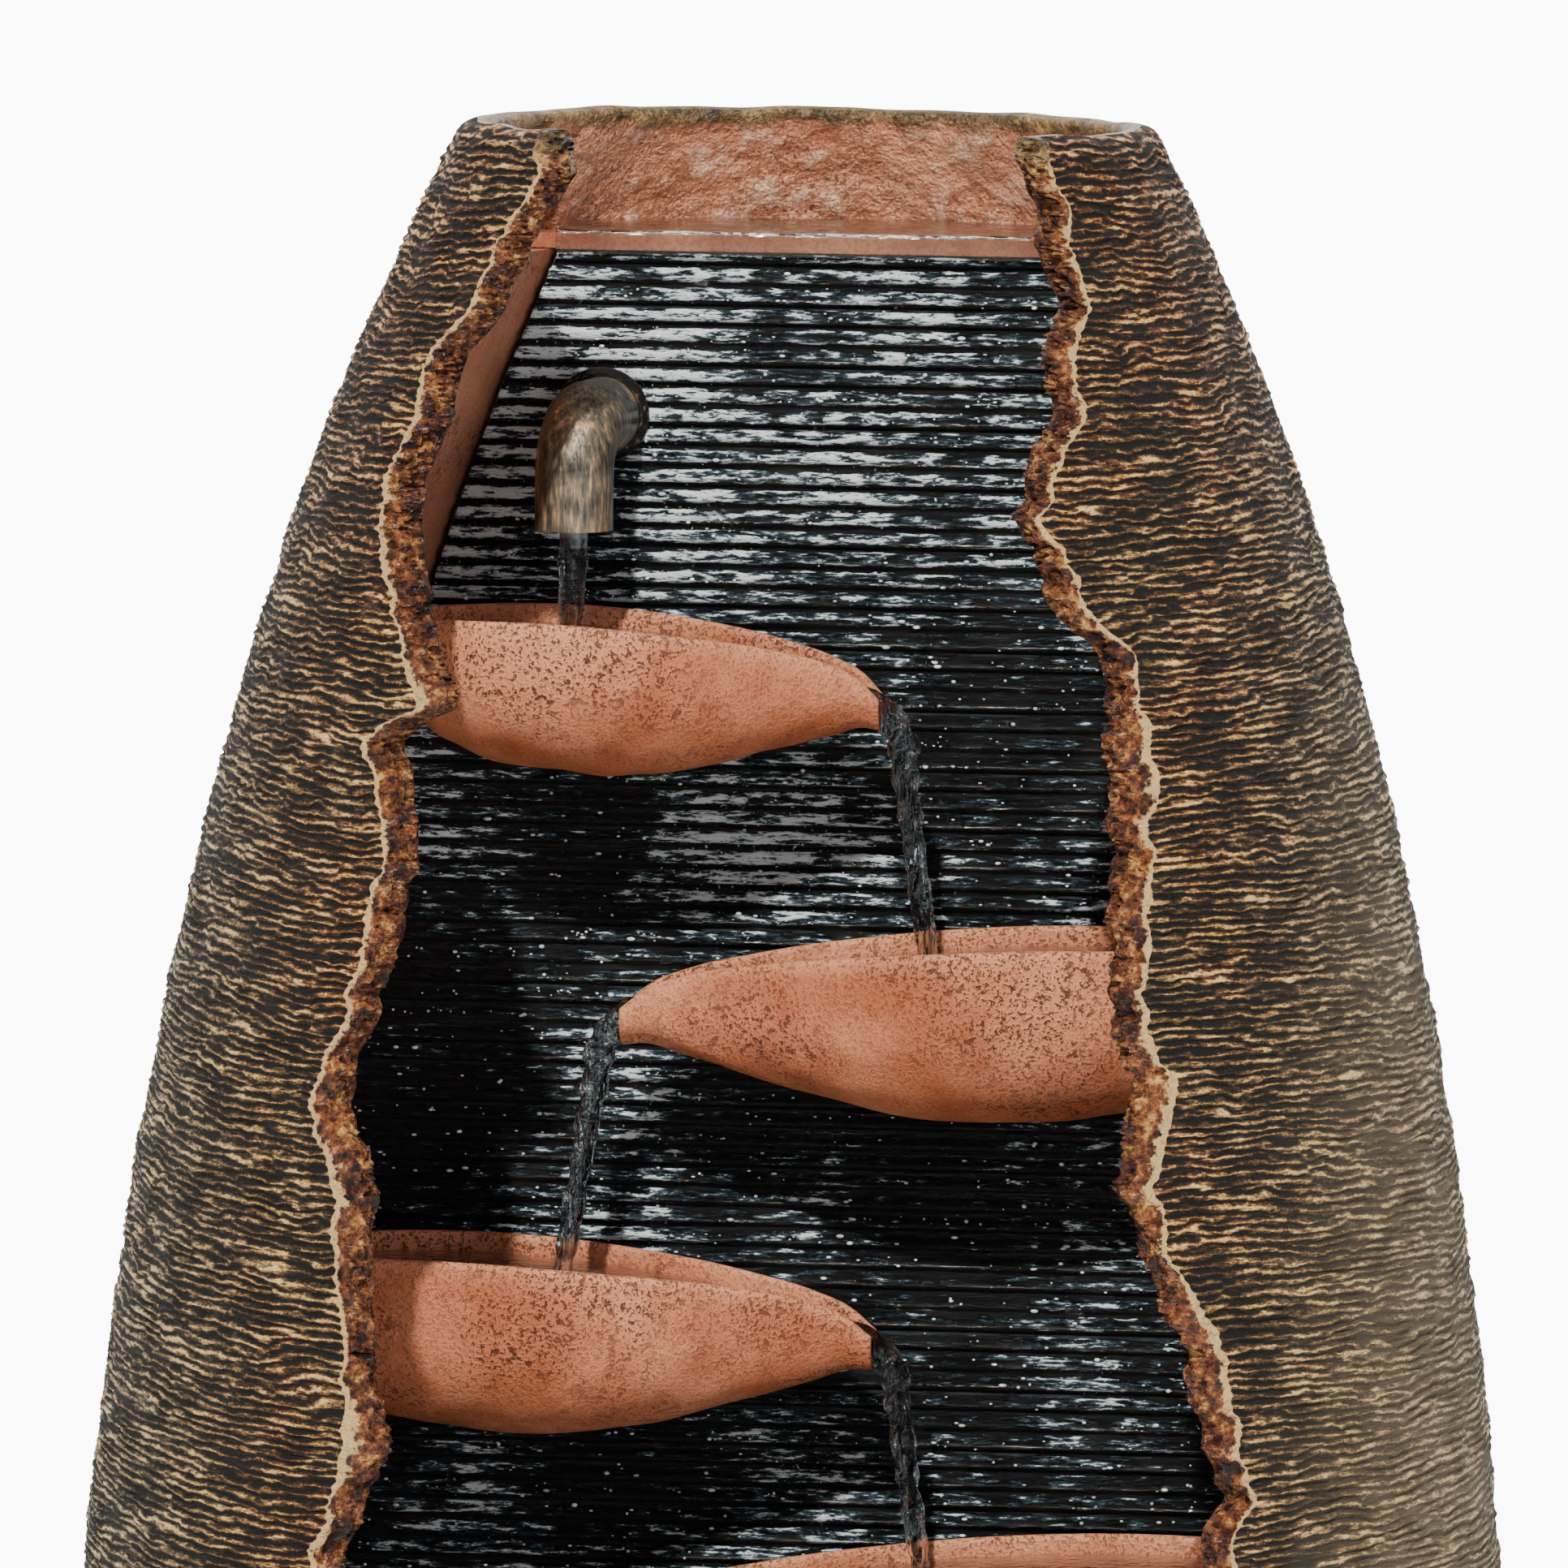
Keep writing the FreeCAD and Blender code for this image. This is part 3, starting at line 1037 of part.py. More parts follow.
gland = turned("pump_gland", [
    ("Sizes.cable_radius", "0"), ("Sizes.gland_radius", "0"), ("Sizes.gland_radius", "4"),
    ("Sizes.gland_radius - 1", "12"), ("Sizes.cable_radius", "12")])
put(gland, PUMP_X, FACE_Y + " + Sizes.pump_length", PUMP_Z + " + Sizes.pump_height / 4", ALONG_BACK)
node(gland, "pump_cable_gland")

# ---------------------------------------------------------------- hoses and their clamps
def tube(outside, inside, start, end):
    return rod(outside, start, end).cut(rod(inside, start, end))


hose, bore = size["hose_radius"], size["barb_radius"] + size["hose_fit"]
tee_z = door_low + size["tee_rise"]
outlet_top = pump_z + size["volute_radius"] + 4
riser_top = tee_z - size["tee_half"]
weir_low = tee_z + size["tee_half"]
weir_top = tray_low - 2 * size["locknut_height"]
shape_node("riser_hose", tube(hose, bore, (riser_x, riser_y, outlet_top), (riser_x, riser_y, riser_top)))
shape_node("weir_hose", tube(hose, bore, (riser_x, riser_y, weir_low), (riser_x, riser_y, weir_top)))

valve_end = riser_x - size["tee_half"] - size["valve_length"]
spout_x = -size["spout_x"]
barb_root = liner_back + size["tail_length"]
bend = size["hose_bend"]
route = [V(valve_end, riser_y, tee_z), V(valve_end - size["hose_side"], riser_y, tee_z),
         V(spout_x, barb_root + size["barb_length"] + bend, spout_level), V(spout_x, barb_root, spout_level)]


def ring_face(outside, inside, centre, way):
    disc, hole = (Part.Face(Part.Wire(Part.makeCircle(r, centre, way))) for r in (outside, inside))
    return disc.cut(hole)


def bent_tube(outside, inside, points, radius):
    """A tube of straight runs joined by tangent bends of one radius."""
    pieces, last = [], points[0]
    for before, corner, after in zip(points, points[1:], points[2:]):
        back = (before - corner).normalize()
        ahead = (after - corner).normalize()
        half_angle = math.acos(back.dot(ahead)) / 2
        start = corner + back * (radius / math.tan(half_angle))
        centre = corner + (back + ahead).normalize() * (radius / math.sin(half_angle))
        pieces.append(ring_face(outside, inside, last, back).extrude(start - last))
        turn = 180 - 2 * math.degrees(half_angle)
        pieces.append(ring_face(outside, inside, start, back).revolve(centre, ahead.cross(back), turn))
        last = corner + ahead * (radius / math.tan(half_angle))
    pieces.append(ring_face(outside, inside, last, points[-1] - last).extrude(points[-1] - last))
    return pieces[0].fuse(pieces[1:]).removeSplitter()


shape_node("spout_hose", bent_tube(hose, bore, route, bend))

band = size["clamp_width"]
band_in, band_out = hose + size["thread_gap"], hose + size["thread_gap"] + size["clamp_thickness"]
CLAMP_SHARE = 0.35
clamp_step = CLAMP_SHARE * size["barb_length"]
clamps = []
for z in (outlet_top + clamp_step, riser_top - clamp_step - band, weir_low + clamp_step,
          weir_top - clamp_step - band):
    clamps.append(tube(band_out, band_in, (riser_x, riser_y, z), (riser_x, riser_y, z + band)))
clamps.append(tube(band_out, band_in, (valve_end - 1, riser_y, tee_z),
                   (valve_end - 1 - band, riser_y, tee_z)))
clamps.append(tube(band_out, band_in, (spout_x, barb_root + 1, spout_level),
                   (spout_x, barb_root + 1 + band, spout_level)))
shape_node("hose_clamps", Part.makeCompound(clamps))

# ---------------------------------------------------------------- drain plug, grommet, screen
plug = turned("drain_plug_turned", [
    ("0", "-2 * Sizes.jar_wall + Sizes.spotface_depth"),
    ("Sizes.drain_radius - Sizes.thread_gap", "-2 * Sizes.jar_wall + Sizes.spotface_depth"),
    ("Sizes.drain_radius - Sizes.thread_gap", "Sizes.gasket_thickness + Sizes.joint_gap"),
    ("Sizes.drain_head", "Sizes.gasket_thickness + Sizes.joint_gap"),
    ("Sizes.drain_head", "Sizes.gasket_thickness + Sizes.drain_head_height"),
    ("0", "Sizes.gasket_thickness + Sizes.drain_head_height")])
doc.recompute()
plug_slot = outline(plug, "drain_slot", "YZ_Plane", [
    ("-2", "Sizes.gasket_thickness + Sizes.drain_head_height - 3"),
    ("2", "Sizes.gasket_thickness + Sizes.drain_head_height - 3"),
    ("2", "Sizes.gasket_thickness + Sizes.drain_head_height + 1"),
    ("-2", "Sizes.gasket_thickness + Sizes.drain_head_height + 1")])
plug_cut = plug.newObject("PartDesign::Pocket", "drain_slot_cut")
plug_cut.Profile = plug_slot
plug_cut.Midplane = True
plug_cut.setExpression("Length", "3 * Sizes.drain_head")
put(plug, "0", "%.6f" % drain_seat, "Sizes.drain_height", ALONG_BACK)
node(plug, "drain_plug")
seal = turned("drain_gasket_turned", [
    ("Sizes.drain_radius + Sizes.joint_gap", "0"), ("Sizes.drain_head", "0"),
    ("Sizes.drain_head", "Sizes.gasket_thickness"),
    ("Sizes.drain_radius + Sizes.joint_gap", "Sizes.gasket_thickness")])
put(seal, "0", "%.6f" % drain_seat, "Sizes.drain_height", ALONG_BACK)
node(seal, "drain_gasket")

GROMMET_SEAT = 0.8
grommet = turned("grommet_turned", [
    ("Sizes.grommet_bore", "-Sizes.grommet_lip - %g" % GROMMET_SEAT),
    ("Sizes.grommet_flange", "-Sizes.grommet_lip - %g" % GROMMET_SEAT),
    ("Sizes.grommet_flange", "-%g" % GROMMET_SEAT),
    ("Sizes.grommet_hole - Sizes.thread_gap", "-%g" % GROMMET_SEAT),
    ("Sizes.grommet_hole - Sizes.thread_gap", "Sizes.jar_wall + %g" % GROMMET_SEAT),
    ("Sizes.grommet_flange", "Sizes.jar_wall + %g" % GROMMET_SEAT),
    ("Sizes.grommet_flange", "Sizes.jar_wall + Sizes.grommet_lip + %g" % GROMMET_SEAT),
    ("Sizes.grommet_bore", "Sizes.jar_wall + Sizes.grommet_lip + %g" % GROMMET_SEAT)])
seat_point = grommet_way * inner_radius(grommet_z) + V(0, 0, grommet_z)
grommet.Placement = FreeCAD.Placement(seat_point, FreeCAD.Rotation(Z_AXIS, grommet_way))
node(grommet, "cord_grommet")

SCREEN_TOP = "Sizes.seam_height - Sizes.pool_drop - Sizes.wall_dip - Sizes.joint_gap"
screen = padded("screen_plate", [
    ("-Sizes.screen_half_width", "Sizes.screen_bottom"), ("Sizes.screen_half_width", "Sizes.screen_bottom"),
    ("Sizes.screen_half_width", SCREEN_TOP), ("-Sizes.screen_half_width", SCREEN_TOP)],
    "Sizes.screen_thickness", "XZ_Plane")
doc.recompute()
first_slot = "-Sizes.screen_half_width + 2 * Sizes.window_margin"
slot_sketch = outline(screen, "screen_slot", "XZ_Plane", [
    (first_slot, "Sizes.screen_bottom + 2 * Sizes.window_margin"),
    (first_slot + " + Sizes.slot_width", "Sizes.screen_bottom + 2 * Sizes.window_margin"),
    (first_slot + " + Sizes.slot_width", SCREEN_TOP + " - 2 * Sizes.window_margin"),
    (first_slot, SCREEN_TOP + " - 2 * Sizes.window_margin")])
slot_cut = screen.newObject("PartDesign::Pocket", "screen_slot_cut")
slot_cut.Profile = slot_sketch
slot_cut.Type = 1
slot_cut.Midplane = True
doc.recompute()
slots = screen.newObject("PartDesign::LinearPattern", "screen_slots")
slots.Originals = [slot_cut]
slots.Direction = (slot_sketch, ["H_Axis"])
slots.setExpression("Length", "2 * Sizes.screen_half_width - 4 * Sizes.window_margin - Sizes.slot_width")
slots.Occurrences = int(size["slot_count"])
screen.Tip = slots
put(screen, "0", "Sizes.wall_plane + Sizes.wall_thickness", "0")
node(screen, "debris_screen")

# ---------------------------------------------------------------- check and export
doc.recompute()
for item in doc.Objects:
    if any(word in item.State for word in ("Invalid", "Error")):
        raise RuntimeError("%s failed: %s" % (item.Name, item.State))
for piece in nodes:
    if piece.Shape.isNull() or not piece.Shape.isValid():
        raise RuntimeError("%s has no valid shape" % piece.Label)

os.makedirs("parts", exist_ok=True)
for piece in nodes:
    piece.Shape.exportStep("parts/%s.step" % piece.Label)
print("%d nodes" % len(nodes))
for piece in nodes:
    shape = piece.Shape
    bounds = shape.BoundBox
    print("%-18s solids %2d vol %10.0f  x %7.1f %7.1f  y %7.1f %7.1f  z %7.1f %7.1f" % (
        piece.Label, len(shape.Solids), shape.Volume, bounds.XMin, bounds.XMax,
        bounds.YMin, bounds.YMax, bounds.ZMin, bounds.ZMax))
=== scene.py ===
"""Looks of the broken-jar cascade fountain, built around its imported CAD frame.

The sections follow the fountain as it is put together: jar, niche, water wall, reservoir, bowls,
spout, running water, and the pump chamber behind. Everything is in metres in the CAD frame.
"""
import math

import bmesh
import bpy
import numpy as np
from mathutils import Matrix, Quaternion, Vector


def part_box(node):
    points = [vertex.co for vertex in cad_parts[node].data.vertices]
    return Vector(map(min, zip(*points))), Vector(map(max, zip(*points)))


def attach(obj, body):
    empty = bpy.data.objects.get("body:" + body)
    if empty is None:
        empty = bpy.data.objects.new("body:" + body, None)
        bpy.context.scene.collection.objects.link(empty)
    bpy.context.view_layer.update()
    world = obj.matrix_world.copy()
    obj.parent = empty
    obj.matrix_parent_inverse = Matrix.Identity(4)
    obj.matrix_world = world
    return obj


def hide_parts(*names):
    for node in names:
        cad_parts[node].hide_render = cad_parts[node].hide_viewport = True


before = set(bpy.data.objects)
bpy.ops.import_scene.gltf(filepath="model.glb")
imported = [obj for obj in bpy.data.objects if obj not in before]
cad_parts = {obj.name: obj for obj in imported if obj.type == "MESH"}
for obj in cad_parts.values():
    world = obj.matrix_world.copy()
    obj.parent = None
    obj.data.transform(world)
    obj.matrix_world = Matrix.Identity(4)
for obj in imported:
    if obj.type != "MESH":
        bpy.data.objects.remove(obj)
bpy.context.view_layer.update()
root = bpy.context.scene.collection

# Camera. It stands a little above the rim and a little to the right of the jar's front, far away
# with a long lens, and it is rolled slightly.
CAMERA_AWAY = 5.2
CAMERA_HEIGHT = 1.312
CAMERA_TURN = math.radians(5.7)
CAMERA_ROLL = math.radians(0.65)
AIM_HEIGHT = 0.779
AIM_LEFT = 0.007

camera_data = bpy.data.cameras.new("camera")
camera_data.lens = 304
camera_data.sensor_width = 36
camera_data.clip_end = 200
camera = bpy.data.objects.new("camera", camera_data)
root.objects.link(camera)
bpy.context.scene.camera = camera
aim = Vector((-AIM_LEFT * math.cos(CAMERA_TURN), -AIM_LEFT * math.sin(CAMERA_TURN), AIM_HEIGHT))
camera.location = (CAMERA_AWAY * math.sin(CAMERA_TURN), -CAMERA_AWAY * math.cos(CAMERA_TURN), CAMERA_HEIGHT)
camera.rotation_mode = "QUATERNION"
level_view = (aim - camera.location).to_track_quat("-Z", "Y")
camera.rotation_quaternion = level_view @ Quaternion((0, 0, 1), CAMERA_ROLL)


# Lights. One hard key lamp high in front, a weaker fill at the right, and a pale sky.
def lamp(name, kind, energy, towards, colour, **settings):
    """Lamp whose light travels along `towards`, from 4 m away."""
    data = bpy.data.lights.new(name, kind)
    data.energy = energy
    data.color = colour
    for key, value in settings.items():
        setattr(data, key, value)
    light = bpy.data.objects.new(name, data)
    root.objects.link(light)
    light.rotation_mode = "QUATERNION"
    light.rotation_quaternion = Vector(towards).to_track_quat("-Z", "Y")
    light.location = Vector((0, 0, 0.7)) - Vector(towards).normalized() * 4


lamp("key", "SUN", 5.3, (0.06, 0.76, -0.69), (1.0, 0.95, 0.88), angle=math.radians(2.0))
lamp("fill", "AREA", 35, (-0.75, 0.8, -0.15), (0.92, 0.96, 1.0), size=2.4)
world = bpy.data.worlds.new("studio")
bpy.context.scene.world = world
world.use_nodes = True
world.node_tree.nodes["Background"].inputs["Color"].default_value = (0.93, 0.96, 1.0, 1)
world.node_tree.nodes["Background"].inputs["Strength"].default_value = 0.32


# Floor and backdrop: one pale sheet that runs level under the jar and turns up far behind it.
class Shader:
    """Short way to place nodes in a material or node group and to join them."""

    def __init__(self, tree):
        self.tree = tree

    def node(self, kind, settings=None, **inputs):
        """Adds a node; an input's value is a number, a colour or another node's socket."""
        made = self.tree.nodes.new(kind)
        for key, value in (settings or {}).items():
            setattr(made, key, value)
        for key, value in inputs.items():
            name = key.replace("_", " ")
            socket = made.inputs[int(key[1:])] if key[0] == "n" and key[1:].isdigit() else made.inputs[name]
            if isinstance(value, bpy.types.NodeSocket):
                self.tree.links.new(value, socket)
            else:
                socket.default_value = value
        return made

    def math(self, operation, a, b=0.0, c=0.0, clamp=False):
        """One Math node's result."""
        return self.node("ShaderNodeMath", {"operation": operation, "use_clamp": clamp},
                         n0=a, n1=b, n2=c).outputs[0]

    def ramp(self, value, *stops):
        """Colour ramp; each stop is (place, colour)."""
        made = self.node("ShaderNodeValToRGB", n0=value)
        ends = made.color_ramp.elements
        for place, colour in stops[1:-1]:
            ends.new(place).color = (*colour, 1)
        for element, (place, colour) in zip(sorted(ends, key=lambda e: e.position), sorted(stops)):
            element.position = place
            element.color = (*colour, 1)
        return made.outputs["Color"]

    def step(self, value, low, high):
        """Smooth 0 to 1 as the value goes from low to high."""
        return self.node("ShaderNodeMapRange", {"interpolation_type": "SMOOTHSTEP"},
                         n0=value, n1=low, n2=high).outputs[0]

    def mix(self, factor, a, b, kind="MIX"):
        """Colour mix of a and b."""
        made = self.node("ShaderNodeMix", {"data_type": "RGBA", "blend_type": kind})
        for socket, value in zip((made.inputs[0], made.inputs[6], made.inputs[7]), (factor, a, b)):
            if isinstance(value, bpy.types.NodeSocket):
                self.tree.links.new(value, socket)
            else:
                socket.default_value = (*value, 1) if isinstance(value, tuple) else value
        return made.outputs[2]

    def place(self, *scale):
        """Object coordinates, scaled along x, y and z."""
        here = self.node("ShaderNodeTexCoord").outputs["Object"]
        return self.node("ShaderNodeMapping", Vector=here, Scale=scale).outputs[0]

    def noise(self, where, scale, detail=3.0, rough=0.55):
        """Noise value about 0.5."""
        return self.node("ShaderNodeTexNoise", Vector=where, Scale=scale, Detail=detail,
                         Roughness=rough).outputs[0]

    def sway(self, value, amount, base):
        """The base, plus `amount` times how far the value is from 0.5."""
        return self.math("MULTIPLY_ADD", self.math("SUBTRACT", value, 0.5), amount, base)

    def up(self):
        """Height on the piece."""
        return self.node("ShaderNodeSeparateXYZ", Vector=self.place(1, 1, 1)).outputs["Z"]

    def attribute(self, name):
        """A number stored on the mesh."""
        return self.node("ShaderNodeAttribute", {"attribute_name": name}).outputs["Fac"]

    def bump(self, height, distance, strength=1.0):
        """Normal from a height."""
        return self.node("ShaderNodeBump", Height=height, Distance=distance, Strength=strength).outputs[0]


def finish_of(name):
    """New material: its Shader and its Principled node."""
    made = bpy.data.materials.new(name)
    made.use_nodes = True
    return made, Shader(made.node_tree), made.node_tree.nodes["Principled BSDF"]


def feed(shader, surface, **inputs):
    """Sets or links the inputs of a Principled node."""
    for key, value in inputs.items():
        socket = surface.inputs[key.replace("_", " ")]
        if isinstance(value, bpy.types.NodeSocket):
            shader.tree.links.new(value, socket)
        else:
            socket.default_value = value


def solid_of(name, points, faces, materials, body="fountain", kinds=None, marks=None, flat=None):
    """Piece from an (n, 3) array of points and a list of (k, 4) or (k, 3) face arrays."""
    mesh = bpy.data.meshes.new(name)
    corners = np.concatenate([f.ravel() for f in faces]).astype(np.int32)
    sizes = np.concatenate([np.full(len(f), f.shape[1]) for f in faces]).astype(np.int32)
    mesh.vertices.add(len(points))
    mesh.vertices.foreach_set("co", np.ascontiguousarray(points, dtype=np.float32).ravel())
    mesh.loops.add(len(corners))
    mesh.loops.foreach_set("vertex_index", corners)
    mesh.polygons.add(len(sizes))
    mesh.polygons.foreach_set("loop_start", np.concatenate([[0], np.cumsum(sizes)[:-1]]).astype(np.int32))
    mesh.polygons.foreach_set("use_smooth", np.ones(len(sizes), bool) if flat is None else ~flat)
    for material in materials:
        mesh.materials.append(material)
    if kinds is not None:
        mesh.polygons.foreach_set("material_index", kinds.astype(np.int32))
    for key, values in (marks or {}).items():
        stored = mesh.attributes.new(key, "FLOAT", "POINT")
        stored.data.foreach_set("value", np.ascontiguousarray(values, dtype=np.float32).ravel())
    mesh.update()
    mesh.validate()
    piece = bpy.data.objects.new(name, mesh)
    root.objects.link(piece)
    if body:
        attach(piece, body)
    return piece


def strips(ids):
    """Quads of a grid of point numbers, outward where rows x columns turn right-handed."""
    return np.stack([ids[:-1, :-1], ids[:-1, 1:], ids[1:, 1:], ids[1:, :-1]], -1).reshape(-1, 4)


def looped(ids):
    """The grid of point numbers with its first column once more at the end."""
    return np.concatenate([ids, ids[:, :1]], 1)


def studio_sheet():
    """Sheet 60 m wide: level to y = 14 m, then a quarter circle of radius 6 m and a wall."""
    turn = np.linspace(0, math.pi / 2, 16)
    y = np.concatenate([[-14], 14 + 6 * np.sin(turn), [20]])
    z = np.concatenate([[0], 6 - 6 * np.cos(turn), [26]]) - 0.0005
    x = np.linspace(-30, 30, 5)
    grid = np.stack([*np.broadcast_arrays(x[None, :], y[:, None], z[:, None])], -1)
    return grid.reshape(-1, 3), strips(np.arange(y.size * x.size).reshape(y.size, x.size))


paper, shader, surface = finish_of("pale_paper")
seen = shader.math("MULTIPLY", shader.node("ShaderNodeLightPath").outputs["Is Camera Ray"], 9.0)
feed(shader, surface, Base_Color=(0.96, 0.96, 0.95, 1), Roughness=0.9, Specular_IOR_Level=0.1,
     Emission_Color=(1, 1, 1, 1), Emission_Strength=seen)
sheet_points, sheet_faces = studio_sheet()
solid_of("studio_sheet", sheet_points, [sheet_faces], [paper], body=None)

# Jar. It is heavy stoneware clay, thrown in two parts that lap at a joint below the water line. The
# outside is combed while soft, and the front is torn out and left raw; the inside stays terracotta.
JAR_HEIGHT = 1.04
JAR_WALL = 0.016
JAR_SILL = 0.316
JAR_JOINT = 0.25
RIM_ROUND = 0.007
JAR_PROFILE = ((0, 0.200), (0.1, 0.249), (0.2, 0.2783), (0.3, 0.2875), (0.464, 0.2813), (0.616, 0.2635),
               (0.76, 0.2361), (0.857, 0.210), (0.952, 0.1763), (1.0, 0.1557), (1.04, 0.1365))
TEAR_LEFT = ((-45.0, 1.0), (-40.4, .978), (-40.0, .962), (-44.6, .940), (-45.4, .905), (-50.0, .884),
             (-48.6, .850), (-50.7, .812), (-47.0, .780), (-41.5, .741), (-36.4, .700), (-43.0, .680),
             (-39.2, .648), (-37.0, .614), (-38.0, .562), (-41.4, .490), (-36.4, .442), (-34.6, .390),
             (-33.2, .330), (-34.0, .275), (-37.5, .228), (-32.5, .180), (-35.5, .132), (-27.0, .078),
             (-14.0, .028), (1.4, 0.0))
TEAR_RIGHT = ((46.0, 1.0), (47.6, .968), (45.0, .944), (45.6, .912), (41.2, .885), (42.2, .864),
              (37.2, .842), (33.4, .805), (35.4, .768), (40.5, .738), (42.0, .697), (42.3, .668),
              (40.4, .648), (40.6, .622), (36.9, .561), (39.4, .515), (36.5, .462), (38.2, .420),
              (43.6, .362), (44.6, .300), (42.0, .243), (45.0, .200), (37.5, .150), (29.0, .092),
              (16.0, .040), (1.6, 0.0))
COMB_PITCH = 0.0033
COMB_DEPTH = 0.0023
FRONT_COLUMNS = 42
BACK_COLUMNS = 206
TEAR_COLUMNS = 9
DOOR_HALF_TURN = math.radians(15)
# Cord grommet and drain: turn from the front, height, radius of the flat round it, and of its hole.
WALL_FITTINGS = ((math.radians(145), 0.320, 0.019, 0.0095), (math.pi, 0.044, 0.023, 0.012))
DOOR_LOW, DOOR_HIGH = 0.276, 0.426


def waver(turn, height, cells, tall, seed):
    """Smooth noise from -1 to 1 on the jar.

    Random values stand at `cells` places round the jar and every `tall` metres up it, and
    smoothstep curves join them, so it closes on itself round the back."""
    values = np.random.default_rng(seed).uniform(-1, 1, (int(JAR_HEIGHT / tall) + 8, cells))
    across = turn / (2 * math.pi) * cells
    up = np.clip(height / tall + 2, 0, values.shape[0] - 2)
    column = np.floor(across).astype(int)
    row = np.floor(up).astype(int)
    s = across - column
    t = up - row
    s = s * s * (3 - 2 * s)
    t = t * t * (3 - 2 * t)
    column = column % cells
    after = (column + 1) % cells
    low = values[row, column] * (1 - s) + values[row, after] * s
    high = values[row + 1, column] * (1 - s) + values[row + 1, after] * s
    return low * (1 - t) + high * t


def smooth_line(places, along):
    """Cubic Hermite curve through (along, value) places, with slopes from their neighbours."""
    x, y = np.array(places, float).T
    slope = np.gradient(y, x)
    k = np.clip(np.searchsorted(x, along) - 1, 0, len(x) - 2)
    width = x[k + 1] - x[k]
    t = (along - x[k]) / width
    return ((2 * t**3 - 3 * t**2 + 1) * y[k] + (t**3 - 2 * t**2 + t) * width * slope[k]
            + (3 * t**2 - 2 * t**3) * y[k + 1] + (t**3 - t**2) * width * slope[k + 1])


def jar_radius(height):
    """Outer radius at a height, without the combing."""
    return smooth_line(JAR_PROFILE, np.asarray(height, float))


def tear_turn(places, height, seed):
    """Angle of a torn edge at a height: straight runs between the tear's corners, plus fine jags."""
    turn, share = np.array(places)[::-1].T
    line = np.interp((height - JAR_SILL) / (JAR_HEIGHT - JAR_SILL), share, np.radians(turn)) * 1.012
    still = 0 * height
    jag = 0.0035 * waver(still, height, 3, 0.016, seed) + 0.0022 * waver(still, height, 3, 0.006, seed + 1)
    return line + jag / jar_radius(height) * np.clip((height - JAR_SILL) / 0.02, 0, 1)


def comb_strokes(turn, height):
    """Numbers of the comb strokes at a place, for two crossing passes, and which pass lies on top.

    Each is the height over the pitch, bent by slow, middling and short waver."""
    slow = 1.3 * waver(turn, height, 9, 0.17, 1)
    first = height / COMB_PITCH + slow + 0.55 * waver(turn, height, 34, 0.030, 2)
    first = first + 0.26 * waver(turn, height, 105, 0.011, 3) + 0.17 * waver(turn, height, 270, 0.005, 4)
    second = height / (COMB_PITCH * 1.22) + slow + 0.60 * waver(turn, height, 40, 0.026, 5)
    second = second + 0.28 * waver(turn, height, 115, 0.012, 6) + 0.18 * waver(turn, height, 290, 0.005, 7)
    top = 0.5 + 0.9 * waver(turn, height, 62, 0.010, 8) + 0.5 * waver(turn, height, 170, 0.004, 9)
    return first, second, np.clip(top, 0, 1)


def comb_height(turn, height):
    """Height of the clay over the plain wall: rounded ridges, sharp furrows, broken into dashes."""
    first, second, top = comb_strokes(turn, height)
    ridges = [1 - np.abs(2 * (stroke - np.floor(stroke)) - 1) for stroke in (first, second)]
    ridge = ridges[0] * (1 - top) + ridges[1] * top
    dash = 0.70 + 0.45 * waver(turn, height, 95, 0.006, 10)
    lump = 0.0008 * waver(turn, height, 48, 0.022, 11)
    return COMB_DEPTH * (ridge**0.8 * dash - 0.45) + lump


def calm(turn, height):
    """0 at the fittings in the wall, where the clay is pressed flat, and 1 away from them."""
    near = np.ones_like(turn + height)
    for place_turn, place_height, flange, _ in WALL_FITTINGS:
        away = (turn % (2 * math.pi) - place_turn) * jar_radius(place_height)
        away = np.hypot(away, height - place_height) / flange
        near = near * np.clip(3 * (away - 1), 0, 1)
    joint = np.clip(np.abs(height - JAR_JOINT) / 0.0025, 0, 1)
    return near * joint


def round_jar(turn, radius, height):
    """Points at a turn from the jar's front, a distance from its axis, and a height."""
    return np.stack([radius * np.sin(turn), -radius * np.cos(turn), height + 0 * radius], -1)


def skin_points(turn, height, inside=False):
    """Points on the jar's outer skin, or on its inner one."""
    edge = np.clip((height - JAR_HEIGHT + RIM_ROUND) / RIM_ROUND, 0, 1)
    rounding = RIM_ROUND * 0.85 * (1 - np.sqrt(np.clip(1 - edge**2, 0, 1)))
    if inside:
        dent = 0.0011 * waver(turn, height, 60, 0.018, 21) + 0.0006 * waver(turn, height, 150, 0.009, 22)
        radius = jar_radius(height) - JAR_WALL + dent + rounding
    else:
        radius = jar_radius(height) + comb_height(turn, height) * calm(turn, height) * (1 - 0.6 * edge)
        radius = radius - rounding - 0.0016 * (1 - np.clip(np.abs(height - JAR_JOINT) / 0.0025, 0, 1))
    sag = height + 0.0012 * edge * waver(turn, height, 40, 0.3, 23)
    return round_jar(turn, radius, sag)


def tear_lean(height, seed):
    """How far the inner corner of the tear stands into the opening beyond the outer one."""
    still = 0 * height
    steady = 0.0052 + 0.0035 * waver(still, height, 3, 0.030, seed)
    steady = steady + 0.0012 * waver(still, height, 3, 0.009, seed + 1)
    return steady * np.clip((height - JAR_SILL) / 0.05, 0, 1)


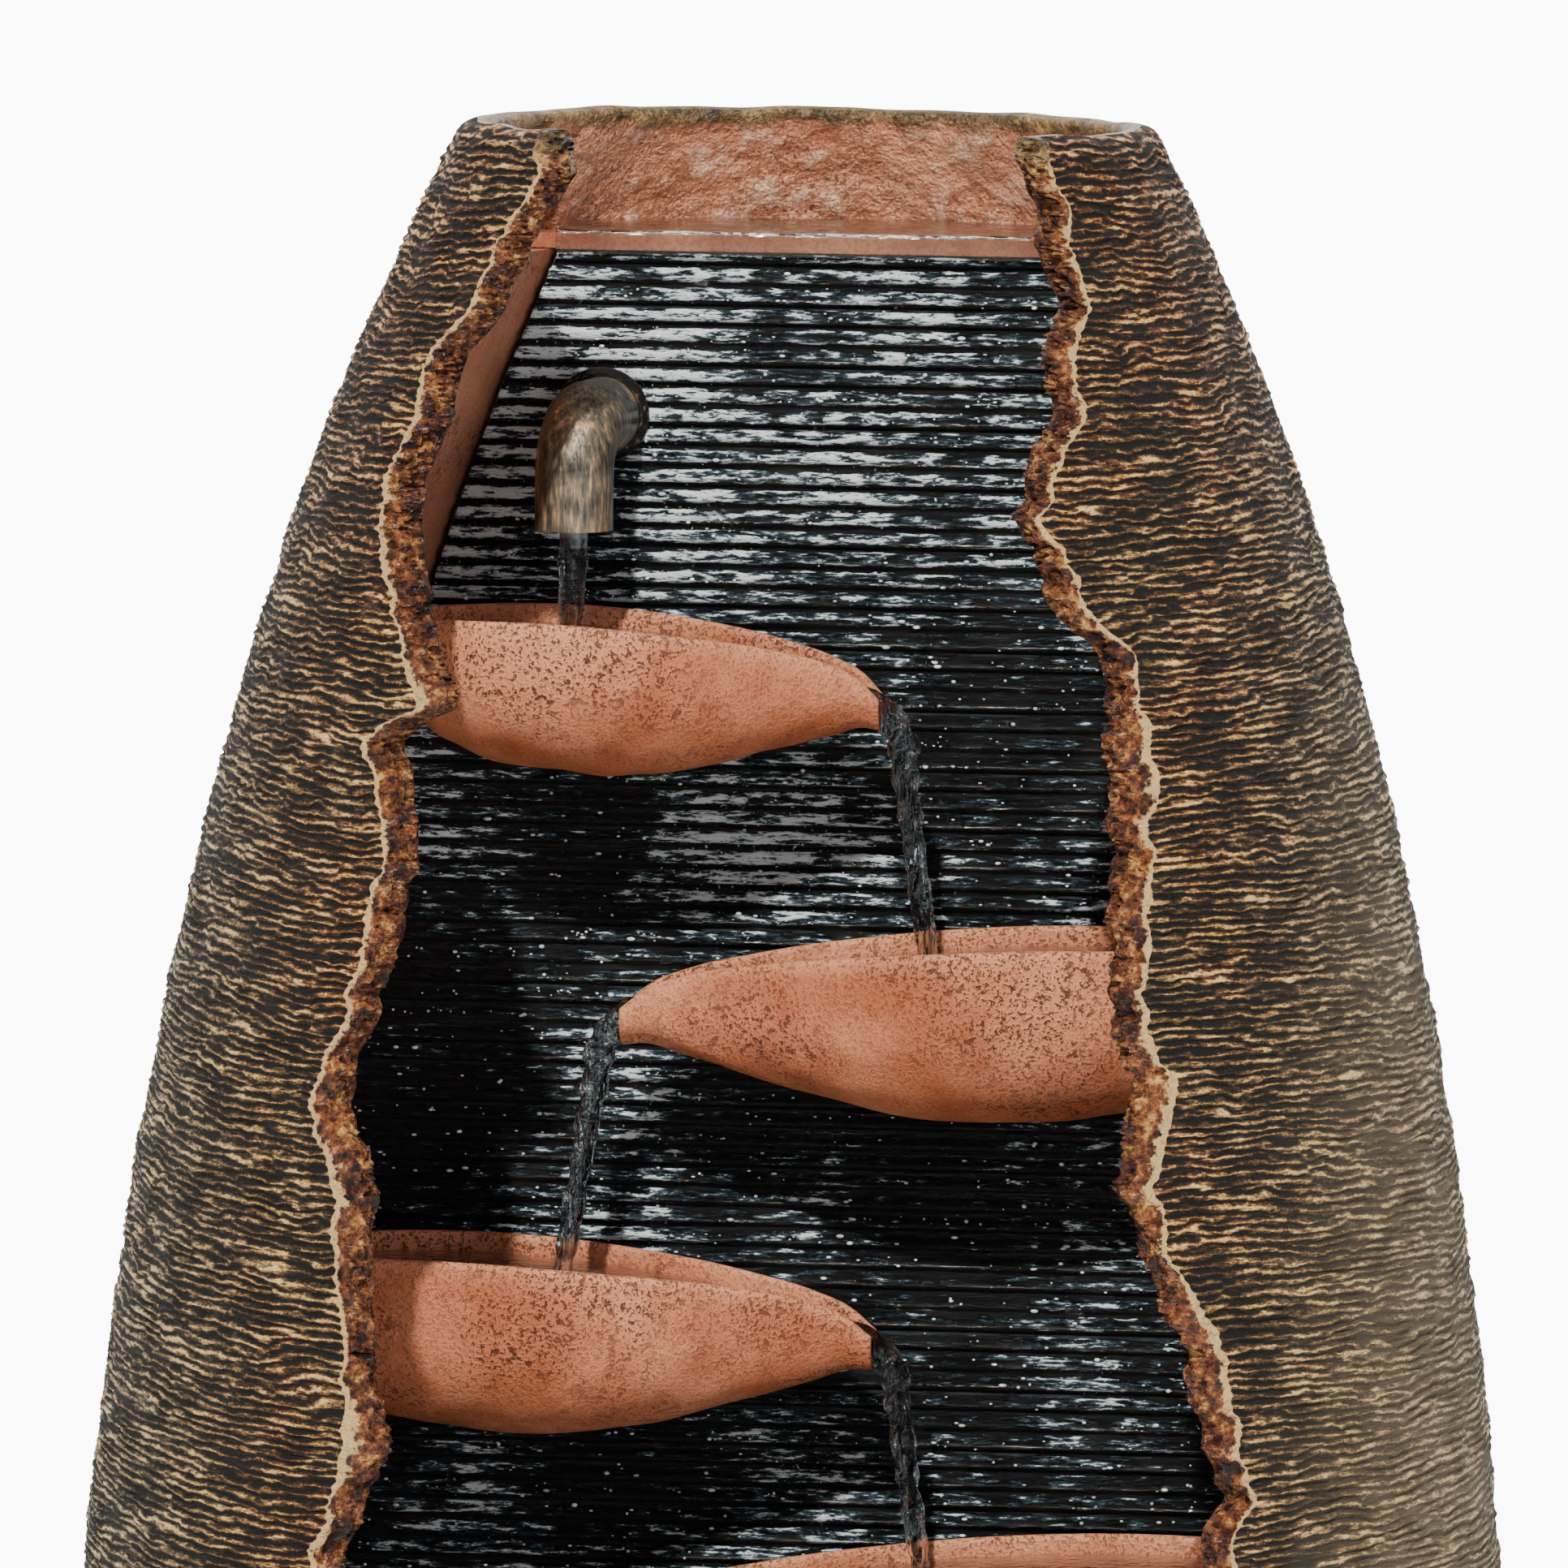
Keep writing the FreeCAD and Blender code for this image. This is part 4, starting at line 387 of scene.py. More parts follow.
def tear_face(turn, height, side, seed, lean):
    """Raw broken face, from the outer corner to the inner one.

    Its points run across the wall, and lumps of clay swell out of it into the opening."""
    across = np.linspace(0, 1, TEAR_COLUMNS)[None, 1:-1]
    outer = jar_radius(height)[:, None] + 0.0005
    swell = np.sin(math.pi * across)**0.6
    up = height[:, None] + 0 * across
    lumps = 0.0026 + 0.0042 * waver(8.0 * across / outer, up, 200, 0.011, seed)
    lumps = lumps + 0.0090 * np.clip(waver(0 * height, height, 3, 0.026, seed + 1), 0, 1)[:, None]**1.3
    lumps = lumps + 0.0015 * waver(30.0 * across / outer, up, 300, 0.004, seed + 2)
    radius = outer - JAR_WALL * across
    closing = np.clip((height - JAR_SILL) / 0.05, 0, 1)[:, None]
    angle = turn[:, None] + side * (swell * lumps * closing + lean[:, None] * across) / radius
    return round_jar(angle, radius, height[:, None])


def jar_band(name, heights, torn, slot_node):
    """One ring of the jar between its lowest and highest row, a thick shell closed on every side.

    A whole ring has an outer and an inner loop of points in each row. A torn ring has one loop:
    round the outside from the right tear to the left one, across the wall, back inside, and across.
    The cells of the door are left out, and clay faces join the two skins round them."""
    right = tear_turn(TEAR_RIGHT, heights, 31) if torn else np.full(len(heights), math.radians(1.5))
    left = tear_turn(TEAR_LEFT, heights, 41) if torn else right
    left = left + 2 * math.pi
    begin, end = math.radians(60), math.radians(300)
    steps = np.linspace(0, 1, FRONT_COLUMNS + 1)
    behind = np.linspace(begin, end, BACK_COLUMNS + 1) + 0 * right[:, None]
    turn = np.concatenate([right[:, None] + (begin - right[:, None]) * steps[:-1], behind,
                           end + (left[:, None] - end) * steps[1:]], 1)
    if not torn:
        turn = turn[:, :-1]
    height = np.broadcast_to(heights[:, None], turn.shape)
    rows, columns = turn.shape
    leans = [tear_lean(heights, 36), tear_lean(heights, 46)] if torn else [0 * heights, 0 * heights]
    front_right = np.clip((begin - turn) / (begin - right[:, None]), 0, 1)
    front_left = np.clip((turn - end) / (left[:, None] - end), 0, 1)
    shift = leans[1][:, None] * front_left - leans[0][:, None] * front_right
    turn_inside = turn + shift / (jar_radius(height) - JAR_WALL)
    outer = np.arange(rows * columns).reshape(rows, columns)
    inner = outer + outer.size
    first, second, top = comb_strokes(turn, height)
    tear_way = np.minimum(turn - right[:, None], left[:, None] - turn) * jar_radius(height)
    # Mask of the painted highlight along the tear's outer corner.
    arris_highlight = np.exp(-tear_way / 0.0014) if torn else 0 * turn
    blank = 0 * turn
    points = [skin_points(turn, height), skin_points(turn_inside, height, inside=True)]
    marks = {"first_pass": [first, first], "second_pass": [second, second], "top_pass": [top, top],
             "arris_highlight": [arris_highlight, blank]}
    if torn:
        for way, edge, lean in ((1, left, leans[1]), (-1, right, leans[0])):
            points.append(tear_face(edge, heights, way, 52 - 2 * way, lean))
            for key in marks:
                marks[key].append(np.zeros(points[-1].shape[:2]))
            marks["arris_highlight"][-1][:, 0] = 0.30
        across_left = 2 * outer.size + np.arange(rows * (TEAR_COLUMNS - 2)).reshape(rows, -1)
        across_right = across_left + across_left.size
        ids = np.concatenate([outer, across_left, inner[:, ::-1], across_right[:, ::-1], outer[:, :1]], 1)
        faces = strips(ids).reshape(rows - 1, -1, 4)
        zone = np.ones(faces.shape[1], int)
        zone[:columns - 1] = 0
        zone[columns + TEAR_COLUMNS - 2:2 * columns + TEAR_COLUMNS - 3] = 2
        inner_start = columns + TEAR_COLUMNS - 2
    else:
        ids = looped(outer)
        back = np.concatenate([inner[:, :1], inner[:, ::-1]], 1)
        faces = np.concatenate([strips(grid).reshape(rows - 1, -1, 4) for grid in (ids, back)], 1)
        zone = np.repeat([0, 2], columns)
        inner_start = columns
    cells = columns - 1 if torn else columns
    middle = 0.5 * (turn[:-1, :-1] + turn[1:, 1:])
    mid_height = 0.5 * (heights[:-1] + heights[1:])[:, None]
    gone = (np.abs(middle - math.pi) < DOOR_HALF_TURN) & (mid_height > DOOR_LOW) & (mid_height < DOOR_HIGH)
    for place_turn, place_height, _, hole in WALL_FITTINGS:
        away = np.hypot((middle - place_turn) * jar_radius(place_height), mid_height - place_height)
        gone = gone | (away < hole)
    gone = np.pad(gone, ((0, 0), (0, cells - gone.shape[1])))
    kept = np.ones(faces.shape[:2], bool)
    kept[:, :cells] = ~gone
    if torn:
        kept[:, inner_start:inner_start + cells] = ~gone[:, ::-1]
    else:
        kept[:, inner_start + 1:inner_start + columns] = ~gone[:, :-1][:, ::-1]
    walls = [faces[kept]]
    kinds = [np.broadcast_to(zone, kept.shape)[kept]]
    wide = np.pad(gone, 1)
    wrap_outer = outer if torn else looped(outer)
    wrap_inner = inner if torn else looped(inner)

    def joining(rows_at, columns_at, upright, forward):
        """Clay faces between the skins along chosen cell edges."""
        a = (rows_at, columns_at)
        b = (rows_at + 1, columns_at) if upright else (rows_at, columns_at + 1)
        quad = [wrap_outer[a], wrap_inner[a], wrap_inner[b], wrap_outer[b]] if upright else [
            wrap_outer[a], wrap_outer[b], wrap_inner[b], wrap_inner[a]]
        walls.append(np.stack(quad if forward else quad[::-1], -1).reshape(-1, 4))
        kinds.append(np.full(len(walls[-1]), 3))

    for forward, clay in ((True, wide[1:-1, :-2]), (False, wide[1:-1, 2:])):
        r, c = np.nonzero(gone & ~clay)
        joining(r, c if forward else c + 1, True, forward)
    for forward, clay in ((True, wide[:-2, 1:-1]), (False, wide[2:, 1:-1])):
        r, c = np.nonzero(gone & ~clay)
        inside_band = (r > 0) if forward else (r < rows - 2)
        r, c = r[inside_band], c[inside_band]
        joining(r if forward else r + 1, c, False, forward)
    for row, forward in ((rows - 1, True), (0, False)):
        c = np.nonzero(~gone[row - 1 if forward else 0])[0]
        joining(np.full(len(c), row), c, False, forward)
    solid = [np.concatenate(walls)]
    kind = [np.concatenate(kinds)]
    if torn:
        for row, forward in ((rows - 1, True), (0, False)):
            for line in (np.concatenate([outer[row, -1:], across_left[row], inner[row, -1:]]),
                         np.concatenate([inner[row, :1], across_right[row, ::-1], outer[row, :1]])):
                fan = np.stack([np.full(len(line) - 2, line[0]), line[1:-1], line[2:]], -1)
                solid.append(fan if forward else fan[:, ::-1])
                kind.append(np.full(len(fan), 3))
    kind = np.concatenate(kind)
    flat = (kind == 3) & (heights[-1] < JAR_HEIGHT - 1e-6)
    kind[kind == 3] = 1
    piece = solid_of(name, np.concatenate([p.reshape(-1, 3) for p in points]), solid,
                     [combed_clay, torn_clay, inner_clay], kinds=kind, flat=flat,
                     marks={key: np.concatenate([v.ravel() for v in value]) for key, value in marks.items()})
    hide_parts(slot_node)
    return piece


def speckle_group():
    """Fired clay: soft colour clouds, dark pits of several sizes, and a height for the bump."""
    group = bpy.data.node_groups.new("fired_speckle", "ShaderNodeTree")
    for label, kind, way in (("Coordinates", "Vector", "INPUT"), ("Light", "Color", "INPUT"),
                             ("Dark", "Color", "INPUT"), ("Pit", "Color", "INPUT"),
                             ("Pits", "Float", "INPUT"), ("Color", "Color", "OUTPUT"),
                             ("Height", "Float", "OUTPUT")):
        group.interface.new_socket(label, socket_type="NodeSocket" + kind, in_out=way)
    s = Shader(group)
    given = s.node("NodeGroupInput").outputs
    where = given["Coordinates"]
    cloud = s.step(s.noise(where, 14, 5, 0.6), 0.36, 0.66)
    body = s.mix(cloud, given["Dark"], given["Light"])
    grain = s.noise(where, 620, 3, 0.6)
    body = s.mix(s.step(grain, 0.38, 0.64), s.mix(0.42, body, given["Pit"]), body)
    crowd = s.step(s.noise(where, 16, 3, 0.55), 0.40, 0.60)
    small = s.step(s.noise(where, 620, 4, 0.7), 0.54, 0.64)
    pits = s.math("MULTIPLY", small, s.math("MULTIPLY_ADD", crowd, 0.75, 0.25))
    large = s.step(s.noise(where, 260, 4, 0.75), 0.58, 0.64)
    large = s.math("MULTIPLY", large, crowd)
    both = s.math("MULTIPLY", s.math("MAXIMUM", pits, large), given["Pits"], clamp=True)
    result = s.node("NodeGroupOutput")
    group.links.new(s.mix(both, body, given["Pit"]), result.inputs["Color"])
    group.links.new(s.math("SUBTRACT", s.math("MULTIPLY", grain, 0.4), both), result.inputs["Height"])
    return group


fired_speckle = speckle_group()


def fired_clay(shader, light, dark, pit, pits):
    """Colour and bump height of fired clay on a piece, from the node group."""
    made = shader.node("ShaderNodeGroup", {"node_tree": fired_speckle}, Coordinates=shader.place(1, 1, 1),
                       Light=(*light, 1), Dark=(*dark, 1), Pit=(*pit, 1), Pits=pits)
    return made.outputs["Color"], made.outputs["Height"]


combed_clay, shader, surface = finish_of("combed_clay")
skin = shader.place(1, 1, 1)
long_way = shader.place(0.16, 0.16, 1)
ragged = shader.math("SUBTRACT", shader.noise(long_way, 360, 4, 0.68), 0.5)
torn = shader.math("SUBTRACT", shader.noise(shader.place(0.5, 0.5, 1), 480, 3, 0.65), 0.5)
ridge = []
for key in ("first_pass", "second_pass"):
    stroke = shader.math("MULTIPLY_ADD", ragged, 1.5, shader.attribute(key))
    part = shader.math("FRACT", shader.math("MULTIPLY_ADD", torn, 0.55, stroke))
    fold = shader.math("ABSOLUTE", shader.math("MULTIPLY_ADD", part, 2.0, -1.0))
    ridge.append(shader.math("SUBTRACT", 1.0, fold))
over = shader.step(shader.math("MULTIPLY_ADD", ragged, 0.9, shader.attribute("top_pass")), 0.35, 0.65)
ridge_height = shader.math("ADD", shader.math("MULTIPLY", ridge[0], shader.math("SUBTRACT", 1.0, over)),
                           shader.math("MULTIPLY", ridge[1], over))
dashes = shader.noise(shader.place(0.26, 0.26, 1), 150, 4, 0.7)
tone = shader.sway(dashes, 2.3, ridge_height)
grit = shader.noise(skin, 700, 3, 0.65)
tone = shader.sway(grit, 0.85, tone)
tone = shader.math("MULTIPLY", tone, 0.80)
spread = shader.node("ShaderNodeSeparateXYZ", Vector=skin).outputs
across = spread["X"]
# Painted light: towards both flanks the clay turns to the greyer ramp, standing in for light grazing the
# sides. The noise patches mixed in are the clay's own random tone.
painted_flank_light = shader.step(shader.math("ABSOLUTE", across), 0.13, 0.25)
random_tone_and_flank_light = shader.step(shader.noise(skin, 9, 3, 0.55), 0.38, 0.64)
random_tone_and_flank_light = shader.math("MAXIMUM", shader.math("MULTIPLY", random_tone_and_flank_light, 0.6), painted_flank_light)
# The ramps are partly the combed clay's own dark brown and partly painted light: the gold and cream on the
# ridge crests are a painted highlight, and the near-black in the furrows is painted shade.
warm = shader.ramp(tone, (0.22, (0.003, 0.002, 0.001)), (0.42, (0.040, 0.011, 0.004)),
                   (0.60, (0.120, 0.034, 0.010)), (0.74, (0.44, 0.18, 0.038)), (0.90, (0.95, 0.60, 0.21)))
grey = shader.ramp(tone, (0.22, (0.004, 0.004, 0.003)), (0.42, (0.034, 0.027, 0.014)),
                   (0.58, (0.105, 0.074, 0.034)), (0.74, (0.38, 0.24, 0.09)), (0.90, (0.86, 0.61, 0.28)))
colour = shader.mix(random_tone_and_flank_light, warm, grey)
# Painted light: the right front flank is washed towards a flat pale tan, standing in for the light on that
# side.
right_front_painted_light = shader.math("MULTIPLY", shader.step(across, 0.19, 0.275), 0.36)
right_front_painted_light = shader.math("MULTIPLY", right_front_painted_light, shader.step(spread["Y"], 0.10, -0.06))
colour = shader.mix(right_front_painted_light, colour, (0.36, 0.26, 0.15))
# Painted highlight: a broken gold line along the tear's outer corner.
edge = shader.sway(shader.noise(shader.place(1, 1, 0.8), 130, 4, 0.72), 2.4, shader.attribute("arris_highlight"))
colour = shader.mix(shader.step(edge, 0.92, 1.08), colour, (0.76, 0.48, 0.19))
relief = shader.math("MULTIPLY_ADD", grit, 0.45, ridge_height)
gloss = shader.ramp(tone, (0.30, (0.85, 0.85, 0.85)), (0.75, (0.46, 0.46, 0.46)))
feed(shader, surface, Base_Color=colour, Roughness=gloss, Specular_IOR_Level=0.35,
     Normal=shader.bump(relief, 0.0026, 1.0))

torn_clay, shader, surface = finish_of("torn_clay")
skin = shader.place(1, 1, 1)
cloud = shader.noise(skin, 60, 5, 0.68)
crumb = shader.noise(skin, 230, 5, 0.7)
mixed = shader.sway(crumb, 1.5, cloud)
colour = shader.ramp(mixed, (0.26, (0.004, 0.002, 0.002)), (0.40, (0.060, 0.014, 0.006)),
                     (0.54, (0.20, 0.055, 0.017)), (0.66, (0.42, 0.17, 0.045)), (0.80, (0.78, 0.48, 0.18)))
# Painted highlight: gold along the outer corner of the torn face.
edge = shader.sway(crumb, 2.2, shader.attribute("arris_highlight"))
colour = shader.mix(shader.step(edge, 0.36, 0.62), colour, (0.74, 0.48, 0.21))
worn = shader.ramp(mixed, (0.30, (0.030, 0.020, 0.010)), (0.52, (0.16, 0.095, 0.040)),
                   (0.75, (0.50, 0.32, 0.13)))
colour = shader.mix(shader.step(shader.up(), 1.026, 1.036), colour, worn)
feed(shader, surface, Base_Color=colour, Roughness=0.24, Specular_IOR_Level=0.65,
     Normal=shader.bump(shader.math("MULTIPLY_ADD", cloud, 2.2, crumb), 0.0060, 1.0))

inner_clay, shader, surface = finish_of("inner_clay")
skin = shader.place(1, 1, 1)
clay, pitting = fired_clay(shader, (0.98, 0.45, 0.26), (0.74, 0.26, 0.13), (0.14, 0.04, 0.02), 0.9)
trowel = shader.noise(skin, 62, 4, 0.6)
colour = shader.mix(shader.step(trowel, 0.52, 0.72), clay, (1.0, 0.64, 0.43))
rim = shader.step(shader.math("MULTIPLY_ADD", trowel, 0.014, shader.up()), 1.036, 1.043)
worn = shader.ramp(shader.noise(skin, 90, 4, 0.7), (0.34, (0.05, 0.032, 0.016)), (0.52, (0.17, 0.10, 0.042)),
                   (0.68, (0.42, 0.26, 0.10)))
colour = shader.mix(rim, colour, worn)
height = shader.math("MULTIPLY_ADD", trowel, 3.0, pitting)
feed(shader, surface, Base_Color=colour, Roughness=0.36, Specular_IOR_Level=0.5,
     Normal=shader.bump(height, 0.0036, 0.9))


def even_rows(low, high, step):
    """Row heights from low to high, about a step apart."""
    return np.linspace(low, high, int(round((high - low) / step)) + 1)


for number, (low, high, step, torn, node) in enumerate((
        (0.004, 0.126, 0.0014, False, "jar_base"), (0.126, JAR_JOINT, 0.0014, False, "jar_base"),
        (JAR_JOINT, JAR_SILL, 0.0014, False, "jar_shell"), (JAR_SILL, DOOR_HIGH, 0.0014, True, "jar_shell"),
        (DOOR_HIGH, 0.580, 0.00097, True, "jar_shell"), (0.580, 0.734, 0.00097, True, "jar_shell"),
        (0.734, 0.888, 0.00097, True, "jar_shell"), (0.888, JAR_HEIGHT, 0.00097, True, "jar_shell"))):
    jar_band("jar_skin_%d" % (number + 1), even_rows(low, high, step), torn, node)


# Foot and floor of the jar: the thick base with a standing ring, turned on the wheel with the wall.
FOOT_PROFILE = ((0, 0.018), (0.186, 0.018), (0.197, 0.010), (0.2005, 0.004), (0.196, 0), (0.166, 0),
                (0.163, 0.006), (0, 0.006))


def turned_points(profile, segments=160):
    """Points and quads of a closed profile of (radius, height) turned round the z axis."""
    radius, height = np.array(profile).T
    turn = np.arange(segments) / segments * 2 * math.pi
    grid = round_jar(turn[:, None], radius, height + 0 * turn[:, None])
    ids = np.arange(grid[..., 0].size).reshape(segments, -1)
    ids = np.concatenate([ids, ids[:1]])
    return grid.reshape(-1, 3), strips(looped(ids))


def clean_out(piece):
    """Merges doubled points and turns every face outwards."""
    work = bmesh.new()
    work.from_mesh(piece.data)
    bmesh.ops.remove_doubles(work, verts=work.verts, dist=1e-6)
    bmesh.ops.dissolve_degenerate(work, edges=work.edges, dist=1e-7)
    bmesh.ops.recalc_face_normals(work, faces=work.faces)
    work.to_mesh(piece.data)
    work.free()
    return piece


foot_points, foot_faces = turned_points(FOOT_PROFILE)
foot = clean_out(solid_of("jar_foot", foot_points, [foot_faces], [inner_clay]))
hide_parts("jar_base")


# Access door in the jar's back. It is cut from the same combed clay and sits flush in its frame on
# four screws, whose heads lie in round seats.
DOOR_GAP = 0.0009
SCREW_X, SCREW_SEATS = 0.067, (0.284, 0.418)
SEAT_RADIUS = 0.0062


def door_skin():
    """The door: the jar's two skins between the door's edges, with the screw seats left open.

    Points close to a seat's edge are moved onto its circle, and clay faces join both skins."""
    half = DOOR_HALF_TURN - DOOR_GAP / jar_radius(0.35)
    turn = np.linspace(math.pi - half, math.pi + half, 95)[None, :]
    height = np.linspace(DOOR_LOW + DOOR_GAP, DOOR_HIGH - DOOR_GAP, 94)[:, None]
    turn, height = np.broadcast_arrays(turn, height)
    turn, height = turn.copy(), height.copy()
    hollow = np.zeros((93, 94), bool)
    for x in (-SCREW_X, SCREW_X):
        for z in SCREW_SEATS:
            radius = jar_radius(z)
            place = math.pi - math.asin(x / radius)
            across, up = (turn - place) * radius, height - z
            away = np.hypot(across, up)
            near = (away < SEAT_RADIUS * 1.22) & (away > SEAT_RADIUS * 0.75)
            grow = np.where(near, SEAT_RADIUS / np.maximum(away, 1e-6), 1.0)
            turn, height = place + across * grow / radius, z + up * grow
            mid_across = 0.25 * (across[:-1, :-1] + across[1:, :-1] + across[:-1, 1:] + across[1:, 1:])
            mid_up = 0.25 * (up[:-1, :-1] + up[1:, :-1] + up[:-1, 1:] + up[1:, 1:])
            hollow |= np.hypot(mid_across, mid_up) < SEAT_RADIUS * 0.92
    outer = np.arange(turn.size).reshape(turn.shape)
    inner = outer + outer.size
    front = strips(outer)[~hollow.ravel()]
    back = strips(inner)[~hollow.ravel()][:, ::-1]
    full = np.pad(hollow, 1, constant_values=True)
    sides = []
    for edges, down, along in ((full[1:-1, :-1] != full[1:-1, 1:], 1, 0),
                               (full[:-1, 1:-1] != full[1:, 1:-1], 0, 1)):
        r, c = np.nonzero(edges)
        a, b = (r, c), (r + down, c + along)
        sides.append(np.stack([outer[a], outer[b], inner[b], inner[a]], -1))
    first, second, top = comb_strokes(turn, height)
    marks = {"first_pass": first, "second_pass": second, "top_pass": top, "arris_highlight": 0 * turn}
    kinds = np.concatenate([np.zeros(len(front)), np.full(len(back), 2), np.ones(sum(len(s) for s in sides))])
    skins = [skin_points(turn, height, inside).reshape(-1, 3) for inside in (False, True)]
    return clean_out(solid_of("door_skin", np.concatenate(skins), [front, back, *sides],
                              [combed_clay, torn_clay, inner_clay], body="door", kinds=kinds, flat=kinds == 1,
                              marks={key: np.stack([value, value]) for key, value in marks.items()}))


door = door_skin()
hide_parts("access_door")


# Niche liner: terracotta cheeks and a back plate that hold the water wall. It is the CAD node.
def dress(material, *nodes):
    """Gives CAD nodes a material in every slot."""
    for name in nodes:
        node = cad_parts[name]
        if not node.data.materials:
            node.data.materials.append(material)
        for slot_number in range(len(node.data.materials)):
            node.data.materials[slot_number] = material


cheek_clay, shader, surface = finish_of("cheek_clay")
clay, pitting = fired_clay(shader, (0.80, 0.37, 0.22), (0.58, 0.22, 0.12), (0.10, 0.03, 0.02), 1.0)
feed(shader, surface, Base_Color=clay, Roughness=0.5, Specular_IOR_Level=0.4,
     Normal=shader.bump(pitting, 0.0014, 0.8))
dress(cheek_clay, "niche_liner")

def skirt(ids):
    """Quads from the edge of a grid of points to the same edge of the grid numbered after it."""
    edge = np.concatenate([ids[0, :], ids[1:, -1], ids[-1, -2::-1], ids[-2::-1, 0]])
    return np.stack([edge[:-1], edge[:-1] + ids.size, edge[1:] + ids.size, edge[1:]], -1)


# Water wall: black stone with level ribs, wet all over. A broken sheet of water runs down it; its short level
# streaks along the ribs, where it catches the light, are painted reflection and painted glints in its colour.
WALL_LOW, WALL_TOP = 0.2365, 0.9862
WALL_PLANE, RIB_DEEP = 0.040, 0.0035
RIB_PITCH, RIB_WIDTH, RIB_FIRST = 0.008, 0.0064, 0.2332
CHEEK_DEEP = 0.0432


def wall_half_width(height):
    """Half the width between the cheeks at the water wall."""
    return jar_radius(height) - JAR_WALL - CHEEK_DEEP


def rippled_sheet():
    """Water over the ribs: each rib is an arc in section, with a ragged skin of water on it.

    Its edges turn back into the stone behind it."""
    height = np.linspace(WALL_LOW, WALL_TOP, 690)[:, None]
    share = np.linspace(-1, 1, 112)[None, :]
    x = share * wall_half_width(height)
    rib = np.abs((height - RIB_FIRST + RIB_PITCH / 2) % RIB_PITCH - RIB_PITCH / 2) / (RIB_WIDTH / 2)
    crown = np.sqrt(np.clip(1 - rib**2, 0, 1)) + 0 * x
    turn = x * 4 + math.pi
    run = waver(turn, height + 0 * x, 150, 0.004, 61) + 0.6 * waver(turn, height + 0 * x, 340, 0.0025, 62)
    y = WALL_PLANE - 0.0003 - RIB_DEEP * crown - 0.0004 - 0.00035 * run - 0.0004 * crown * np.clip(run, 0, 2)
    front = np.stack([x, y, height + 0 * x], -1)
    back = np.stack([x, 0 * x + WALL_PLANE + 0.002, height + 0 * x], -1)
    ids = np.arange(x.size).reshape(x.shape)
    return solid_of("water_sheet", np.concatenate([front.reshape(-1, 3), back.reshape(-1, 3)]),
                    [strips(ids), skirt(ids)], [wet_stone], marks={"crown": np.stack([crown, 0 * crown])})


wet_stone, shader, surface = finish_of("wet_stone")
long_way = shader.place(0.24, 1, 1.2)
ragged = shader.noise(long_way, 330, 5, 0.72)
painted_light_patches = shader.noise(shader.place(1, 1, 0.7), 11, 3, 0.55)
crown = shader.attribute("crown")
# Painted reflection: blue-grey streaks and white glints along the rib crowns, thicker on the upper wall and
# in painted lit patches.
lit = shader.math("MULTIPLY_ADD", shader.step(shader.up(), 0.74, 0.90), 0.075, painted_light_patches)
streak = shader.sway(lit, 0.75, ragged)
ribbon = shader.step(shader.sway(ragged, 2.0, crown), 0.55, 0.80)
painted_glint_streaks = shader.math("MULTIPLY", shader.step(streak, 0.56, 0.62), ribbon)
painted_sky_reflection = shader.math("MULTIPLY", shader.step(streak, 0.46, 0.58), ribbon)
# Painted glints of drops, in the painted lit patches.
painted_drop_glints = shader.step(shader.noise(shader.place(1, 1, 1), 560, 1, 0.5), 0.70, 0.74)
painted_drop_glints = shader.math("MULTIPLY", painted_drop_glints, shader.step(painted_light_patches, 0.50, 0.62))
colour = shader.mix(painted_sky_reflection, (0.0015, 0.0022, 0.003), (0.034, 0.072, 0.095))
colour = shader.mix(painted_glint_streaks, colour, (0.80, 0.90, 0.94))
colour = shader.mix(painted_drop_glints, colour, (0.86, 0.90, 0.93))
feed(shader, surface, Base_Color=colour, Roughness=0.15, Specular_IOR_Level=0.42,
     Normal=shader.bump(ragged, 0.0042, 1.0))
sheet = rippled_sheet()

wall_stone, shader, surface = finish_of("wall_stone")
grain = shader.noise(shader.place(1, 1, 1), 240, 4, 0.6)
colour = shader.ramp(grain, (0.3, (0.006, 0.008, 0.010)), (0.7, (0.030, 0.036, 0.042)))
feed(shader, surface, Base_Color=colour, Roughness=0.3, Normal=shader.bump(grain, 0.001, 0.5))
dress(wall_stone, "ripple_wall")


# Spray: drops that cling to the ribs, spread over the wall, each a small
# flattened bead.
def beads(places, radii):
    """Points and faces of many beads, each a six-sided ball of five rings."""
    ring = np.linspace(0, math.pi, 5)
    turn = np.arange(6) / 6 * 2 * math.pi
    ball = np.stack([np.sin(ring)[:, None] * np.cos(turn), np.sin(ring)[:, None] * np.sin(turn),
                     np.cos(ring)[:, None] + 0 * turn], -1)
    ids = np.arange(30).reshape(5, 6)
    quads = strips(looped(ids)[::-1])
    grid = places[:, None, :] + ball.reshape(1, -1, 3) * radii[:, None, :]
    return grid.reshape(-1, 3), (quads[None] + 30 * np.arange(len(places))[:, None, None]).reshape(-1, 4)


clear_water, shader, surface = finish_of("clear_water")
swirl = shader.noise(shader.place(1, 1, 0.45), 190, 3, 0.55)
feed(shader, surface, Base_Color=(0.93, 0.97, 1.0, 1), Roughness=0.03, IOR=1.333, Transmission_Weight=1.0,
     Normal=shader.bump(swirl, 0.0016, 0.6))

drop_water, shader, surface = finish_of("drop_water")
glint = shader.noise(shader.place(1, 1, 1), 300, 1, 0.5)
feed(shader, surface, Base_Color=shader.ramp(glint, (0.35, (0.35, 0.42, 0.46)), (0.65, (0.92, 0.95, 0.97))),
     Roughness=0.08, Specular_IOR_Level=0.9)

